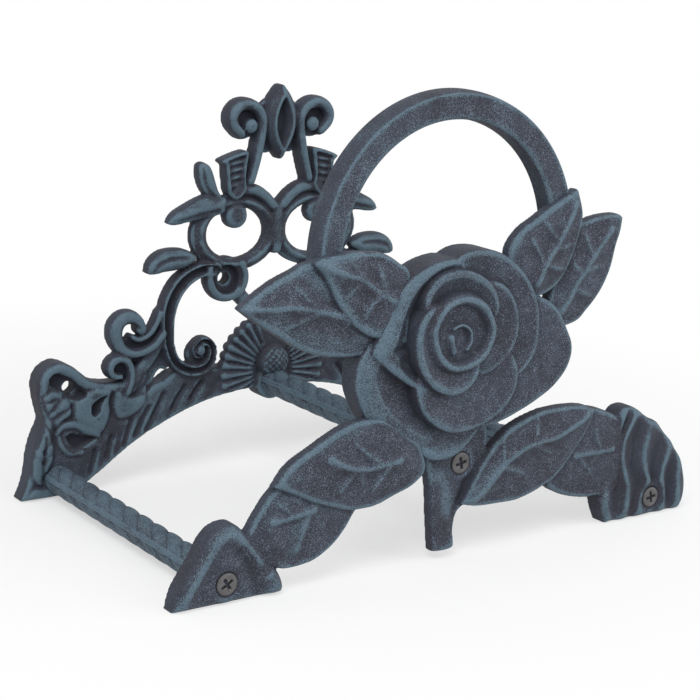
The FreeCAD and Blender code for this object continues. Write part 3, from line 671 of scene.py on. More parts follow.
def makeBars():
    pieces = []
    steps, count = rope["steps"]
    start, end = place["plateBack"], place["frontRear"]
    turn = np.linspace(0, 2 * math.pi, count, endpoint=False)
    fromSeam = np.abs(np.arcsin(np.sin(turn - rope["seam"])))
    plain = ease(rope["band"] + rope["bandEdge"], rope["band"], fromSeam)
    for name, (x, z) in zip(("bar_left", "bar_centre", "bar_right"), barCentres):
        rings = []
        for depth in np.linspace(start, end, steps):
            twist = turn - 2 * math.pi * depth / rope["lead"]
            inEnd = ease(0, rope["collar"], min(depth - start, end - depth))
            strand = np.abs(np.sin(0.5 * rope["strands"] * twist)) ** rope["curve"]
            radius = rope["radius"] - (rope["sunk"] + rope["groove"] * (1 - strand) * inEnd) * (1 - plain)
            across, up = x + radius * np.cos(turn), z + radius * np.sin(turn)
            rings.append(np.stack([across, np.full(count, depth), up], 1))
        points, quads, ends = tube(rings)
        pieces.append(ironPiece(name + "_twist", points, quads, name, rope["sand"], rope["wideShare"],
                                caps=ends, allRound=rope["allRound"], lift=rope["lift"]))
    return pieces


# wall plate: its left half, which is then mirrored
wall = {"front": 10.0, "rear": 5.0, "net": ((-137, -1.5, -12.5), (137, 22, 184), 0.87), "sand": 0.4,
        "wideShare": 0.15, "rim": 1.9, "rimAt": 2.8, "rimWidth": 2.4, "rimAlong": (0.12, 0.3), "round": 1.8,
        "discRound": 2.6}
wallEdge = {
    "outer": [(-134, -9), (-131.3, -3), (-129.6, 3), (-128.8, 8.6), (-127.9, 14.4), (-125.7, 21.3),
              (-122.8, 28), (-124, 34), (-125.5, 41), (-125.6, 47), (-123.5, 51.5), (-119.5, 54.5),
              (-114.5, 55.4), (-108, 52.6), (-100.6, 46.5), (-95, 43.8), (-87, 42.8), (-80, 44), (-70, 50)],
    "step": [(-70, 50), (-69.8, 43), (-69.4, 36)],
    "top": [(-69.4, 36), (-66, 38.6), (-63.4, 39.6), (-60.4, 40.4), (-57, 42.6), (-53, 44), (-40, 44.4),
            (-30, 43.4), (0, 42.4), (4, 42.4)],
    "middle": [(4, 42.4), (4, 31.7)],
    "arch": [(4, 31.7), (0, 31.8), (-30, 28.8), (-52, 22.7), (-75, 12.3), (-95, -1)],
    "heel": [(-95, -1), (-107.6, -9)],
    "sole": [(-107.6, -9), (-134, -9)],
}
# lobes of the acanthus as (outline, roundness, rise)
wallLobes = [
    ([(-124, 40.5), (-122.4, 34.3), (-119.6, 29.1), (-116.8, 24), (-112.4, 27.5), (-108.4, 30.6),
      (-109.3, 35.5), (-113, 39.5), (-119, 43)], 2.6, 1.9),
    ([(-103.8, 39.6), (-96.8, 41.6), (-89.6, 39.5), (-89.5, 33.7), (-89, 28.6), (-91.2, 22.2),
      (-95.2, 18.6), (-101.9, 22.4), (-107.2, 25.6), (-108.1, 29.4), (-107.3, 35.1)], 2.6, 2.4),
    ([(-87.4, 38), (-84.2, 39.3), (-76.9, 35.5), (-70.5, 34.7), (-71.3, 29.8), (-77.7, 25.5), (-84.9, 24.9),
      (-87.7, 30.1)], 3.0, 2.2),
    ([(-122.4, 26.4), (-119.3, 21), (-117.8, 15.1), (-118.4, 8.5), (-121.9, 2.4), (-123.6, -2.3),
      (-128.3, 1.7), (-129.2, 7.6), (-128.8, 14.1), (-126.2, 20.3)], 2.6, 2.6),
    ([(-131.5, -8.5), (-129, -3.5), (-124, -2.6), (-118, -4), (-116, -8.5)], 3.0, 1.6),
]
# ridges as (line with widths, rise), grooves as (depth, width, lines), pits as (outline, floor)
wallRidges = [
    ([(-116.3, 21.5, 2.6), (-114.2, 24.5, 3.4), (-110.7, 25.4, 4), (-106.3, 24.9, 4.4), (-101, 21.5, 4),
      (-95.2, 18.8, 3)], 2.6),
    ([(-115.4, 20.1, 2.6), (-113.7, 15.3, 3), (-109.7, 11.4, 3.4), (-103.5, 11, 3)], 1.6),
    ([(-84, 40, 3), (-78.5, 37, 4), (-75.5, 42, 4), (-72.5, 48, 4)], 1.8),
]
wallGrooves = [
    (1.5, 1.1, [[(-122.6, 21.5), (-122.9, 11.7), (-123.6, 0.2)]]),
    (0.8, 0.9,
     [[(-122.9, 13.3), (-126.8, 17.1)], [(-123.1, 8.4), (-127.5, 12.3)], [(-123, 15), (-119.5, 18.2)],
      [(-123.1, 9.2), (-119, 12.7)]]),
    (1.3, 1.0,
     [[(-122.5, 37.6), (-116, 38.4)], [(-120.6, 33), (-112, 39.5)], [(-118.7, 29.6), (-109.6, 33.4)]]),
    (1.0, 1.1, [[(-67, 44.4), (-72.4, 38.3), (-77.8, 36)], [(-68, 49.5), (-75.2, 42), (-79.7, 36.7)]]),
    (1.7, 1.3,
     [[(-96.4, 11.2), (-99, 0.7)], [(-88, 16.8), (-90.6, 6.6)], [(-77.6, 23.4), (-81.1, 12)],
      [(-68.5, 28.6), (-74.8, 15.8)], [(-60.3, 34.3), (-69.3, 17.6)], [(-49.1, 36.4), (-55.5, 26.1)],
      [(-39.6, 37.8), (-45.2, 29.9)]]),
]
wallPits = [
    ([(-120.7, 48.4), (-118, 50.6), (-113.6, 49.6), (-108.8, 46.6), (-102.6, 41), (-101.6, 38.4),
      (-105.6, 36.6), (-109.4, 37.2), (-113, 40.6), (-119, 44.6)], 6.8),
    ([(-91.2, 37.9), (-95.8, 36.1), (-98.9, 33.6), (-99.5, 30.8), (-97.9, 28.1), (-95.3, 29.4), (-94, 33.4),
      (-92.1, 36.1)], 8.0),
    ([(-112, 19.6), (-108.9, 20.9), (-103.6, 19.7), (-96.5, 17.5), (-100, 14.7), (-105.3, 12.9),
      (-108.9, 14.6)], 7.4),
]
# dry brushing on the left ear, as (line, width, amount)
wallStrokes = [
    ([(-103, 37), (-104.5, 31), (-101, 26), (-95, 21.4)], 4.0, 0.4),
    ([(-91.6, 36), (-91.6, 28), (-93.5, 22.6)], 2.2, 0.4), ([(-85, 35), (-79, 31), (-73, 32)], 5.0, 0.36),
    ([(-126, 16), (-126.6, 8), (-125.6, 2)], 2.4, 0.4), ([(-120.5, 17), (-120, 10)], 1.8, 0.36),
    ([(-114, 24), (-107, 25), (-100, 21.4)], 2.2, 0.36),
    ([(-119, 51), (-113, 52.4), (-105, 48), (-97, 42.6), (-90, 41)], 2.4, 0.3),
    ([(-130.6, 1), (-131.5, -6)], 2.0, 0.3), ([(-118, 40), (-114, 35), (-111, 31)], 4.0, 0.25),
]
# scroll bands as (line with widths, rise, hollow of the channel)
wallBands = [
    ([(-34, 92.6, 7), (-41, 92.8, 7.6), (-48.5, 90, 8.4), (-54, 85.4, 8.8), (-57.8, 79, 8.8),
      (-59.6, 72, 8.4), (-59.6, 65, 7.2), (-58.8, 58, 6.4), (-56, 50.6, 6.2), (-51.7, 46.3, 6.2),
      (-45.5, 44, 6.2), (-39.4, 44.7, 6), (-35.4, 48.6, 5.4), (-34.8, 53.6, 5), (-37, 57.2, 4.6),
      (-41, 57.8, 4), (-44, 55.2, 3.6), (-43.6, 51.6, 3.2), (-41, 50.6, 3)], 2.8, 1.0),
    ([(-73.2, 67.2, 4), (-74.4, 70.4, 5.4), (-78, 73, 6.6), (-82.4, 73, 7.2), (-85.8, 70.4, 7.6),
      (-86.8, 66.4, 7.6), (-86, 62.4, 7), (-83.4, 58.4, 6), (-78.6, 56, 5), (-72.6, 56.2, 4.8),
      (-66.4, 59, 4.6), (-62, 64, 4.4)], 3.0, 0.0),
    ([(-63.6, 74, 3.2), (-65.4, 69.6, 3.4), (-68, 65.6, 3.4), (-71.4, 63.2, 3.2), (-75.4, 62.4, 3),
      (-78.4, 64, 2.6)], 2.4, 0.0),
    ([(-80.6, 37.5, 3.6), (-78.9, 42.3, 4), (-78.6, 47, 4.2), (-80.4, 52, 4.4), (-84.6, 54.2, 4.8),
      (-88.6, 52.6, 4.6), (-89.8, 49.2, 4.2), (-87.8, 46.2, 3.8), (-84.4, 45.6, 3.4)], 3.0, 0.0),
    ([(-22, 81, 7), (-14, 73.5, 7), (-5, 68, 6.4)], 2.0, 0.0),
    ([(-22.6, 156.6, 5), (-26.4, 160.6, 6), (-27.2, 165, 6.4), (-24.4, 169, 6.4), (-19.4, 170.4, 6.2),
      (-14, 168.5, 6), (-11, 164, 5.6), (-10.8, 158.4, 5.4), (-12, 151, 5.6), (-13.8, 143, 5.4),
      (-16.4, 134, 5)], 4.2, 0.0),
    ([(-23, 130, 6), (-14, 129.4, 6), (-8, 126.4, 6), (-3, 121.6, 6)], 2.4, 0.0),
    ([(-78, 42, 6), (-72.4, 48, 6.6), (-67.2, 54.4, 6.8), (-63, 61, 6)], 1.6, 0.0),
    ([(-37.2, 93, 4.4), (-37.2, 87.6, 4.6), (-35, 82.2, 4.6), (-30.4, 78.6, 4.6), (-24, 78.6, 4.6),
      (-19, 82, 4.6), (-17.4, 88, 4.6), (-19.4, 94, 4.6)], 2.4, 0.0),
    ([(-1, 99, 3), (-0.6, 104, 6.6), (-0.6, 114, 6.6), (-1, 121, 4)], 2.2, 0.0),
]
wallLeaves = [
    {"outline": [(-60, 115.8), (-57, 120.4), (-49.1, 124.6), (-39.8, 128), (-29.6, 127), (-29, 122),
                 (-31, 118.6), (-44.9, 116.4), (-56, 114.8)],
     "crease": [(-58, 116.6), (-46, 119), (-34, 121)]},
    {"outline": [(-71, 93.6), (-69.6, 98.4), (-64.8, 102.6), (-58, 104), (-50, 103), (-44, 99), (-48.5, 95),
                 (-53.7, 93.6), (-60.4, 93), (-68, 92.2)],
     "crease": [(-68, 94), (-65, 97.4), (-58.6, 99.4), (-50, 99.4)]},
    {"outline": [(-41.4, 144), (-37.4, 141), (-33.6, 131), (-31, 126), (-38, 127), (-42.4, 131.4),
                 (-44.6, 138.4), (-44, 142.6)], "crease": [(-42.6, 142), (-41, 134), (-37, 128)]},
]
# thin webs behind the bands as (outline, depth of the face), and discs as (centre, radius, rise)
wallWebs = [
    ([(-62, 79), (-66, 68.5), (-71, 63.5), (-79, 64), (-83, 60), (-76, 57), (-66, 59.5), (-60, 66)], 8.4),
    ([(-71, 38), (-66.4, 40.2), (-64.2, 44.2), (-61.6, 46.2), (-58.8, 45.6), (-55.5, 50), (-58, 60),
      (-62, 62), (-67, 54), (-70.5, 47)], 8.6),
    ([(-12.6, 150), (-8, 146.6), (-3, 147), (3, 148), (3, 174), (-10, 170), (-13, 160)], 8.8),
]
wallDiscs = [((-19.4, 162.6), 9.4, -1.0), ((-17.4, 160.2), 3.6, 4.2), ((-23, 117.4), 6.2, 1.8),
             ((-27.5, 87), 11.0, 0.4), ((-40.2, 51.4), 7.6, -1.0), ((-41.4, 53.6), 2.8, 2.6),
             ((-84.2, 49.8), 6.6, -1.4), ((-73.6, 67.4), 3.0, 2.6), ((-74.6, 53.6), 3.8, -1.6)]


# section of a band: rounded, or a channel between two lips
bandShape = {"drop": 1.0, "lipAt": 0.66, "lipWidth": 0.26, "channelWidth": 0.4, "round": 1.2, "spare": 9.0}


def addBand(casting, band, rise, channel):
    line = flow(band, 4)
    spans, x, z = casting.around(line[:, :2], bandShape["spare"])
    gap, share = lineReach(x, z, line)
    half = halfWidth(line, share)
    across = np.clip(gap / half, 0, 1.5)
    if channel:
        front = wall["front"] + rise * bump(across - bandShape["lipAt"], bandShape["lipWidth"])
        front -= channel * bump(across, bandShape["channelWidth"]) + rounded(half - gap, bandShape["round"])
    else:
        drop = bandShape["drop"]
        front = wall["front"] - drop + (rise + drop) * np.sqrt(np.clip(1 - across ** 2, 0, 1))
    casting.add(spans, half - gap, front, wall["rear"])


# rope cuts of the arched band, and relief of the ears
archRope = {"pitch": 10.6, "lean": 1.05, "curve": 0.55, "deep": 0.9, "edge": 1.6, "reach": 12.0,
            "fade": 3.0}
relief = {"lobe": 0.75, "lobeRound": 1.5, "lobeCrease": 0.7, "ridge": 0.5, "ridgeCrease": 0.5,
          "creaseWidth": 1.1, "pitRound": 2.2}


def addWallBody(casting):
    spans, x, z, reach = casting.within(pointed(*wallEdge.values()))
    outer, along = lineReach(x, z, flow(wallEdge["outer"]))
    rim = bump(outer - wall["rimAt"], wall["rimWidth"]) * ease(*wall["rimAlong"], along)
    front = wall["front"] + wall["rim"] * rim
    arch = flow(wallEdge["arch"][::-1], 12)
    archGap, archShare = lineReach(x, z, arch)
    lengths = np.concatenate([[0], np.cumsum(np.hypot(*np.diff(arch, axis=0).T))])
    run = np.interp(archShare, np.linspace(0, 1, len(arch)), lengths)
    twist = np.pi * (run - archRope["lean"] * archGap) / archRope["pitch"]
    strand = np.abs(np.sin(twist)) ** archRope["curve"]
    edges = ease(0, archRope["edge"], archGap) * ease(0, archRope["fade"], archRope["reach"] - archGap)
    front -= archRope["deep"] * (1 - strand) * edges
    for lobe, radius, rise in wallLobes:
        inside = edgeReach(x, z, closed(lobe))
        front += relief["lobe"] * rise * pillow(inside, relief["lobeRound"] * radius) * (inside > 0)
        front -= relief["lobeCrease"] * bump(inside, relief["creaseWidth"])
    for ridge, rise in wallRidges:
        line = flow(ridge, 4)
        gap, share = lineReach(x, z, line)
        half = halfWidth(line, share)
        lifted = wall["front"] + relief["ridge"] * rise * np.sqrt(np.clip(1 - (gap / half) ** 2, 0, 1))
        front = np.where(gap < half, np.maximum(front, lifted), front)
        front -= relief["ridgeCrease"] * bump(gap - half, relief["creaseWidth"])
    for depth, width, grooves in wallGrooves:
        for groove in grooves:
            front -= depth * bump(gapTo(x, z, groove), width)
    for pit, floor in wallPits:
        inside = edgeReach(x, z, closed(pit))
        sunk = floor + (front - floor) * (1 - pillow(inside, relief["pitRound"]))
        front = np.where(inside > 0, sunk, front)
    casting.add(spans, reach, front - rounded(reach, wall["round"]), 0.0)


# oval ring on either side of the crown
ring = {"centre": (-22.3, 109.0), "reach": (20.5, 15.6), "scale": 17.5, "half": 3.7, "drop": 0.6,
        "lip": 2.2, "lipAt": -0.5, "lipWidth": 1.7, "round": 1.2, "box": [(-47, 89), (4, 129)]}


def addRing(casting):
    (cx, cz), (across, up) = ring["centre"], ring["reach"]
    spans, x, z = casting.around(ring["box"])
    gap = (np.hypot((x - cx) / across, (z - cz) / up) - 1) * ring["scale"]
    reach = ring["half"] - np.abs(gap)
    front = wall["front"] - ring["drop"] + ring["lip"] * bump(gap - ring["lipAt"], ring["lipWidth"])
    casting.add(spans, reach, front - rounded(reach, ring["round"]), wall["rear"])


# ribbed block and finial of the crown
block = {"sides": [[(-30.8, 141.8), (-32.6, 144.6), (-19, 148.6), (-18.6, 143.6)],
                   [(-18.6, 143.6), (-19.4, 136), (-18.6, 130.5)],
                   [(-18.6, 130.5), (-21, 127), (-25, 125.4), (-28.8, 128.6), (-30, 135), (-30.8, 141.8)]],
         "ridge": 3.5, "lean": 0.2, "inner": (1.2, 2.6), "rise": 2.6, "lip": 0.9, "lipAt": 1.3,
         "lipWidth": 0.9, "sunk": 1.2, "wave": 0.8, "round": 1.0}
finial = {"foot": 143.2, "tip": 179.6, "half": 9.2, "belly": 1.1, "point": 0.75, "slant": 0.85,
          "bulge": 5.6, "drop": 1.0, "round": 7.5, "almond": (161.5, 13.8, 5.2), "almondLip": 0.9,
          "almondEdge": 0.9, "almondDeep": 5.2, "almondSlope": (0.2, 3.6), "box": [(-11, 142), (4, 181)]}


def addCrown(casting):
    spans, x, z, reach = casting.within(pointed(*block["sides"]))
    inner = ease(*block["inner"], reach)
    wave = np.sin(2 * math.pi * (z - block["lean"] * x) / block["ridge"])
    front = wall["front"] + block["rise"] + block["lip"] * bump(reach - block["lipAt"], block["lipWidth"])
    front += (block["wave"] * wave - block["sunk"]) * inner - rounded(reach, block["round"])
    casting.add(spans, reach, front, wall["rear"])
    spans, x, z = casting.around(finial["box"])
    share = np.clip((z - finial["foot"]) / (finial["tip"] - finial["foot"]), 0, 1)
    half = finial["half"] * np.sin(np.pi * share ** finial["belly"]) ** finial["point"]
    ends = np.minimum(z - finial["foot"], finial["tip"] - z)
    reach = np.minimum((half - np.abs(x)) * finial["slant"], ends)
    front = wall["front"] - finial["drop"]
    front = front + (finial["bulge"] + finial["drop"]) * pillow(reach, finial["round"])
    middle, length, width = finial["almond"]
    lens = width * (1 - np.clip(np.abs(z - middle) / length, 0, 1) ** 2) - np.abs(x)
    front += finial["almondLip"] * bump(lens, finial["almondEdge"])
    front -= finial["almondDeep"] * ease(*finial["almondSlope"], lens)
    casting.add(spans, reach, front, wall["rear"])


# fan shell over the end of the upper bar
fan = {"centre": (0.0, 39.3), "radius": 29.5, "rib": 9.7, "ribCurve": 0.7, "scallop": 1.6, "drop": 0.9,
       "rise": 2.6, "ribsFrom": (6, 15), "round": 1.6, "foot": 30.0, "footTurn": -20,
       "box": [(-33, 34), (4, 72)]}


def addFan(casting):
    spans, x, z = casting.around(fan["box"])
    x, up = x - fan["centre"][0], z - fan["centre"][1]
    radius, turn = np.hypot(x, up), np.degrees(np.arctan2(up, x))
    rib = np.abs(np.cos(np.pi * (turn - 180.0) / fan["rib"])) ** fan["ribCurve"]
    reach = fan["radius"] + fan["scallop"] * (rib - 1) - radius
    reach = np.where(turn < fan["footTurn"], np.minimum(reach, z - fan["foot"]), reach)
    front = wall["front"] - fan["drop"] + fan["rise"] * rib * ease(*fan["ribsFrom"], radius)
    casting.add(spans, reach, front - rounded(reach, fan["round"]), wall["rear"])


# small creased leaves of the scrollwork
sprig = {"drop": 1.0, "rise": 4.2, "round": 5.0, "crease": 1.1, "creaseWidth": 0.9}


def addWallLeaf(casting, leaf):
    spans, x, z, reach = casting.within(closed(leaf["outline"]))
    front = wall["front"] - sprig["drop"] + sprig["rise"] * pillow(reach, sprig["round"])
    front -= sprig["crease"] * bump(gapTo(x, z, leaf["crease"]), sprig["creaseWidth"])
    casting.add(spans, reach, front, wall["rear"])


# beaded dome over the end of the upper bar
knob = {"centre": (0.0, 44.0), "radius": 8.5, "dome": 0.8, "bead": 3.1, "beadRise": 0.8, "beadFade": 3.0}


def addKnob(casting):
    spans, x, z, reach = casting.round(knob["centre"], knob["radius"])
    pitch = 2 * math.pi / knob["bead"]
    beads = knob["beadRise"] * np.cos(pitch * x) * np.cos(pitch * (z - knob["centre"][1]))
    dome = knob["dome"] * np.sqrt(np.clip(knob["radius"] ** 2 - (knob["radius"] - reach) ** 2, 0, None))
    casting.add(spans, reach, wall["front"] + dome + beads * ease(0, knob["beadFade"], reach), wall["rear"])
    spans, x, z, reach = casting.round(barCentres[1], bosses["bar"])
    casting.add(spans, reach, wall["front"] + bosses["barRise"] - rounded(reach, bosses["barRound"]), 0.0)


wallHoles = {"upper": (-27.5, 87.0), "ear": (-109.0, 42.5), "radius": 3.0}
bosses = {"bar": 9.0, "barRise": 1.5, "barRound": 1.5, "screw": 7.0, "screwSunk": 3.0, "screwFloor": 2.6,
          "pocket": 5.3, "pocketDeep": 2.0, "through": -10.0}


def cutHoles(casting):  # wall-screw holes, and pockets behind for the heads of the bars' screws
    for side in (1, -1):
        upper, ear = [(side * wallHoles[key][0], wallHoles[key][1]) for key in ("upper", "ear")]
        spans, x, z, reach = casting.round(upper, bosses["screw"])
        casting.add(spans, reach, wall["front"] - bosses["screwSunk"], 0.0)
        casting.cut(spans, reach, wall["front"] - bosses["screwFloor"])
        for centre in (upper, ear):
            spans, x, z, reach = casting.round(centre, wallHoles["radius"])
            casting.cut(spans, reach, bosses["through"])
    for centre in barCentres:
        spans, x, z, reach = casting.round(centre, bosses["pocket"])
        casting.cut(spans, reach, bosses["through"], bosses["pocketDeep"])


def makeWallPlate():
    work = Casting(*wall["net"])
    addWallBody(work)
    addFan(work)
    for web, level in wallWebs:
        spans, x, z = work.around(web)
        work.add(spans, edgeReach(x, z, closed(web)), level, wall["rear"])
    for centre, radius, rise in wallDiscs:
        spans, x, z, reach = work.round(centre, radius)
        front = wall["front"] + rise - rounded(reach, min(radius, wall["discRound"]))
        work.add(spans, reach, front, wall["rear"])
    addRing(work)
    for band in wallBands:
        addBand(work, *band)
    for leaf in wallLeaves:
        addWallLeaf(work, leaf)
    addCrown(work)
    work.mirror()
    addKnob(work)
    cutHoles(work)
    strokes = wallStrokes + [([(-x, z) for x, z in line], *rest) for line, *rest in wallStrokes]
    return [ironPiece("scroll_plate", *work.net(), "back_plate", wall["sand"], wall["wideShare"], strokes)]


# screws: flat heads with a sunk cross
screw = {"radius": 4.75, "height": 1.2, "shank": 2.5, "length": 22.0, "dome": 0.2, "edge": 0.35,
         "edgeFrom": 4.2, "sides": 84, "arm": 0.72, "span": 2.85, "deep": 1.4, "slope": (0.06, -0.2),
         "shade": (0.25, 0.8), "crossRings": (0.15, 3.0, 19), "topRings": (3.2, 4.3, 5),
         "rimRings": [4.55, 4.7]}


def makeScrews(name, node, faceDepth, way, twists):
    points, faces = [], []
    count, radius, height = screw["sides"], screw["radius"], screw["height"]
    spread = [np.linspace(*screw[key]) for key in ("crossRings", "topRings")]
    radii = np.concatenate([*spread, screw["rimRings"], [radius]])
    turn = np.linspace(0, 2 * math.pi, count, endpoint=False)
    for (cx, cz), twist in zip(barCentres, np.radians(twists)):
        rings = []
        for reach in radii:
            u, v = reach * np.cos(turn), reach * np.sin(turn)
            arms = [np.maximum(np.abs(a) - screw["arm"], np.abs(b) - screw["span"])
                    for a, b in ((u, v), (v, u))]
            sunk = screw["deep"] * ease(*screw["slope"], np.minimum(*arms))
            edge = screw["edge"] * ease(screw["edgeFrom"], radius, reach)
            rings.append((reach, height - screw["dome"] * (reach / radius) ** 2 - edge - sunk, twist))
        rows = [(radius, 0.0), (screw["shank"], 0.0), (screw["shank"], height - screw["length"])]
        rings += [(reach, level, 0.0) for reach, level in rows]
        base = len(points)
        for reach, level, start in rings:
            depth = np.broadcast_to(faceDepth + way * level, count)
            points += list(zip(cx + reach * np.cos(turn + start), depth, cz + reach * np.sin(turn + start)))
        last = base + (len(rings) - 1) * count
        rim = list(range(count))
        ends = [[base + i for i in rim[::-1]], [last + i for i in rim]]
        quads = [[a + i, a + (i + 1) % count, a + count + (i + 1) % count, a + count + i]
                 for a in range(base, last, count) for i in rim]
        faces += [face[::way] for face in ends + quads]
    points = np.array(points)
    level = way * (points[:, 1] - faceDepth)
    # deep: painted shade in the sunk cross and on the side of each head, turned almost black in the screw
    # finish
    deep = ease(*screw["shade"], height - level) * (level > -screw["dome"])
    return makePiece(name, points, faces, node, {"deep": deep})


# materials

class Value:  # a socket that takes part in Python sums
    def __init__(self, finish, socket):
        self.finish, self.socket = finish, socket

    def sum(self, operation, a, b):
        return self.finish.node("ShaderNodeMath", {"operation": operation}, {0: a, 1: b})

    def __add__(self, other):
        return self.sum("ADD", self, other)

    __radd__ = __add__

    def __sub__(self, other):
        return self.sum("SUBTRACT", self, other)

    def __rsub__(self, other):
        return self.sum("SUBTRACT", other, self)

    def __mul__(self, other):
        return self.sum("MULTIPLY", self, other)

    __rmul__ = __mul__

    def most(self, other):
        return self.sum("MAXIMUM", self, other)


class Finish:
    def __init__(self, owner, shader="Principled BSDF"):
        owner.use_nodes = True
        self.owner, self.tree = owner, owner.node_tree
        self.shader = self.tree.nodes[shader]

    def node(self, kind, settings=None, links=None, out=0):
        node = self.tree.nodes.new(kind)
        for key, value in (settings or {}).items():
            if key == "stops":
                for stop, (position, shade) in zip(node.color_ramp.elements, value):
                    stop.position, stop.color = position, (shade, shade, shade, 1)
            else:
                setattr(node, key, value)
        for key, value in (links or {}).items():
            self.feed(node.inputs[key], value)
        return Value(self, node.outputs[out])

    def feed(self, socket, value):
        if isinstance(value, Value):
            self.tree.links.new(value.socket, socket)
        else:
            socket.default_value = value

    def mark(self, key):
        return self.node("ShaderNodeAttribute", {"attribute_name": key}, out="Fac")

    def noise(self, scale, detail=2.0, rough=0.5):
        return self.node("ShaderNodeTexNoise", {}, {"Vector": self.place, "Scale": scale, "Detail": detail,
                                                   "Roughness": rough}, "Fac")

    def step(self, low, high, value):
        return self.node("ShaderNodeMapRange", {"interpolation_type": "SMOOTHSTEP"},
                         {"Value": value, "From Min": low, "From Max": high})

    def shown(self):  # 1 for the rays that meet a white background
        camera, gloss, through = [self.node("ShaderNodeLightPath", {}, {}, "Is %s Ray" % kind)
                                  for kind in ("Camera", "Glossy", "Transmission")]
        return camera.most(gloss).most(through)

    def mix(self, share, a, b):
        return self.node("ShaderNodeMix", {"data_type": "RGBA"}, {"Factor": share, 6: a, 7: b}, 2)


# rubbed paint on the castings; deep is a painted shade colour that darkens the hollows
paint = {"deep": (0.016, 0.017, 0.025, 1), "dark": (0.033, 0.033, 0.045, 1),
         "slate": (0.041, 0.048, 0.066, 1), "teal": (0.094, 0.149, 0.188, 1),
         "sand": (0.165, 0.2, 0.262, 1)}
noiseScale = {"cloud": 30, "patch": 140, "grain": 1900, "speck": 2500, "fine": 3000}
wear = {"base": 0.17, "sand": 0.08, "facing": 0.15, "proud": 0.72, "hollow": 0.45, "cloud": 0.3,
        "patch": 0.45, "edge": (0.34, 0.64), "grain": 0.35, "sandGrain": 1.3}
coat = {"cloudEdge": (0.35, 0.65), "hollowShade": 0.8, "paleEdge": (0.55, 0.68), "palePatch": 0.2,
        "paleSide": 0.35, "pale": 0.85, "pitEdge": (0.46, 0.32), "pitPlain": 0.25, "pit": 0.75,
        "rough": 0.6, "roughGrain": 0.3, "rubbedSmooth": 0.06, "gloss": 0.15, "bump": 0.5,
        "bumpDeep": 0.0005, "bumpGrain": 0.7}


def makeIron():
    iron = Finish(bpy.data.materials.new("rubbed_iron_hollow_shade"))
    iron.place = iron.node("ShaderNodeTexCoord", {}, {}, "Object")
    proud, hollow, facing, sand = [iron.mark(key) for key in ("proud", "hollow", "facing", "sand")]
    cloud, patch = iron.noise(noiseScale["cloud"], 3), iron.noise(noiseScale["patch"], 3, 0.6)
    grain, speck = iron.noise(noiseScale["grain"], 2, 0.65), iron.noise(noiseScale["speck"], 1)
    fine = iron.noise(noiseScale["fine"], 1)
    ground = iron.mix(iron.step(*coat["cloudEdge"], cloud), paint["dark"], paint["slate"])
    # painted shade: the hollow mark darkens recesses towards the deep colour
    ground = iron.mix(hollow * coat["hollowShade"], ground, paint["deep"])
    level = wear["base"] - wear["sand"] * sand + wear["facing"] * facing + wear["proud"] * proud
    level = level - wear["hollow"] * hollow + wear["cloud"] * (cloud - 0.5) + wear["patch"] * (patch - 0.5)
    rubbed = iron.step(*wear["edge"], level + (grain - 0.5) * (wear["grain"] + wear["sandGrain"] * sand))
    coloured = iron.mix(rubbed, ground, paint["teal"])
    sides = coat["paleSide"] + (1 - coat["paleSide"]) * facing
    sandy = iron.step(*coat["paleEdge"], speck + (patch - 0.5) * coat["palePatch"]) * sides  # pale grains
    coloured = iron.mix(sandy * sand * (1 - hollow) * coat["pale"], coloured, paint["sand"])
    spread = coat["pitPlain"] + (1 - coat["pitPlain"]) * sand
    pitted = iron.step(*coat["pitEdge"], speck) * spread * coat["pit"]  # dark pits between them
    coloured = iron.mix(pitted, coloured, paint["dark"])
    iron.feed(iron.shader.inputs["Base Color"], coloured)
    rough = coat["rough"] + (fine - 0.5) * coat["roughGrain"] - rubbed * coat["rubbedSmooth"]
    iron.feed(iron.shader.inputs["Roughness"], rough)
    iron.shader.inputs["Specular IOR Level"].default_value = coat["gloss"]
    height = grain * coat["bumpGrain"] + fine * (1 - coat["bumpGrain"])
    cast = {"Strength": coat["bump"], "Distance": coat["bumpDeep"], "Height": height}
    iron.feed(iron.shader.inputs["Normal"], iron.node("ShaderNodeBump", {}, cast, "Normal"))
    return iron.owner


# grey coat of the screws, with painted shade: the deep mark turns the sunk cross and the side of each head
# almost black
phosphate = {"dull": (0.085, 0.082, 0.084, 1), "bright": (0.125, 0.12, 0.12, 1),
             "recess": (0.006, 0.006, 0.007, 1), "fine": 1800, "cloud": 260, "cloudEdge": (0.3, 0.7),
             "rough": 0.45, "roughGrain": 0.2, "roughDeep": 0.3, "metal": 0.35}


def makeSteel():
    steel = Finish(bpy.data.materials.new("grey_screw_recess_shade"))
    steel.place = steel.node("ShaderNodeTexCoord", {}, {}, "Object")
    fine, cloud = [steel.noise(phosphate[key], 2) for key in ("fine", "cloud")]
    deep = steel.mark("deep")
    top = steel.mix(steel.step(*phosphate["cloudEdge"], cloud), phosphate["dull"], phosphate["bright"])
    # painted shade: the deep mark mixes the head colour to the near-black recess colour
    steel.feed(steel.shader.inputs["Base Color"], steel.mix(deep, top, phosphate["recess"]))
    rough = phosphate["rough"] + (fine - 0.5) * phosphate["roughGrain"] + deep * phosphate["roughDeep"]
    steel.feed(steel.shader.inputs["Roughness"], rough)
    steel.feed(steel.shader.inputs["Metallic"], phosphate["metal"] * (1 - deep))
    return steel.owner


# floor, backdrop and light
studio = {"floorShade": 0.86, "floorRough": 0.9, "floorHalf": 6.0, "floorFade": (0.12, 0.42),
          "fadeStart": 0.5, "sky": 0.55, "aim": (0, -0.1, 0),
          "lamps": {"key": ((-0.75, -0.75, 1.15), 14.0, 0.9), "fill": ((0.9, -0.9, 0.6), 6.0, 1.0)}}


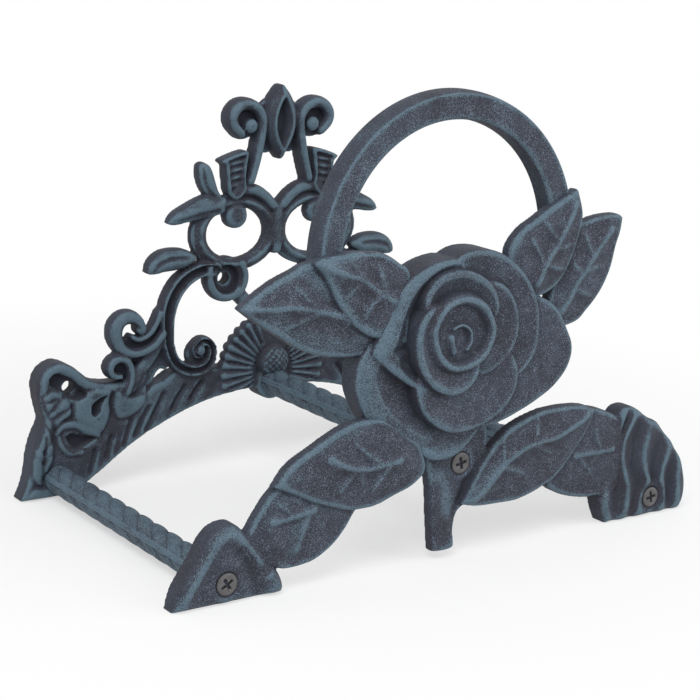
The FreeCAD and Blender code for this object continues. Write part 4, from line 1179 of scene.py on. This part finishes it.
def makeStudio():
    level = (place["footLevel"] - place["holeRise"]) * mm
    half, shade = studio["floorHalf"], studio["floorShade"]
    mesh = bpy.data.meshes.new("floor")
    corners = [(x * half, y * half, level) for x, y in ((-1, -1), (1, -1), (1, 1), (-1, 1))]
    mesh.from_pydata(corners, [], [(0, 1, 2, 3)])
    floor = bpy.data.objects.new("floor", mesh)
    bpy.context.scene.collection.objects.link(floor)
    pale = Finish(bpy.data.materials.new("pale_floor"))
    pale.shader.inputs["Base Color"].default_value = (shade, shade, shade, 1)
    pale.shader.inputs["Roughness"].default_value = studio["floorRough"]
    spot = pale.node("ShaderNodeTexCoord", {}, {}, "Object")
    away = pale.node("ShaderNodeVectorMath", {"operation": "LENGTH"}, {0: spot}, "Value")
    white = pale.node("ShaderNodeEmission", {}, {"Color": (1, 1, 1, 1), "Strength": 1.0})
    start = studio["fadeStart"]
    fade = (start + (1 - start) * pale.step(*studio["floorFade"], away)) * pale.shown()
    lit = Value(pale, pale.shader.outputs[0])
    mixed = pale.node("ShaderNodeMixShader", {}, {0: fade, 1: lit, 2: white})
    pale.feed(pale.tree.nodes["Material Output"].inputs["Surface"], mixed)
    mesh.materials.append(pale.owner)
    sky = Finish(bpy.data.worlds.new("studio"), "Background")
    bpy.context.scene.world = sky.owner
    sky.shader.inputs["Color"].default_value = (1, 1, 1, 1)
    sky.feed(sky.shader.inputs["Strength"], studio["sky"] + (1 - studio["sky"]) * sky.shown())
    for name, (spot, power, size) in studio["lamps"].items():
        lamp = bpy.data.objects.new(name, bpy.data.lights.new(name, "AREA"))
        lamp.data.energy, lamp.data.size = power, size
        lamp.location = spot
        lamp.rotation_euler = (Vector(studio["aim"]) - Vector(spot)).to_track_quat("-Z", "Y").to_euler()
        bpy.context.scene.collection.objects.link(lamp)
    print("studio lit")


bpy.context.scene.view_settings.view_transform = "Standard"
makeCamera()
ironPieces = makeFrontPlate() + makeWallPlate() + makeBars()
ironFinish, screwFinish = makeIron(), makeSteel()
for piece in ironPieces:
    piece.data.materials.append(ironFinish)
for piece in (makeScrews("rose_screws", "front_screws", place["frontFace"], 1, (30, 12, 10)),
              makeScrews("wall_screws", "back_screws", bosses["pocketDeep"], -1, (5, 40, 70))):
    piece.data.materials.append(screwFinish)
makeStudio()
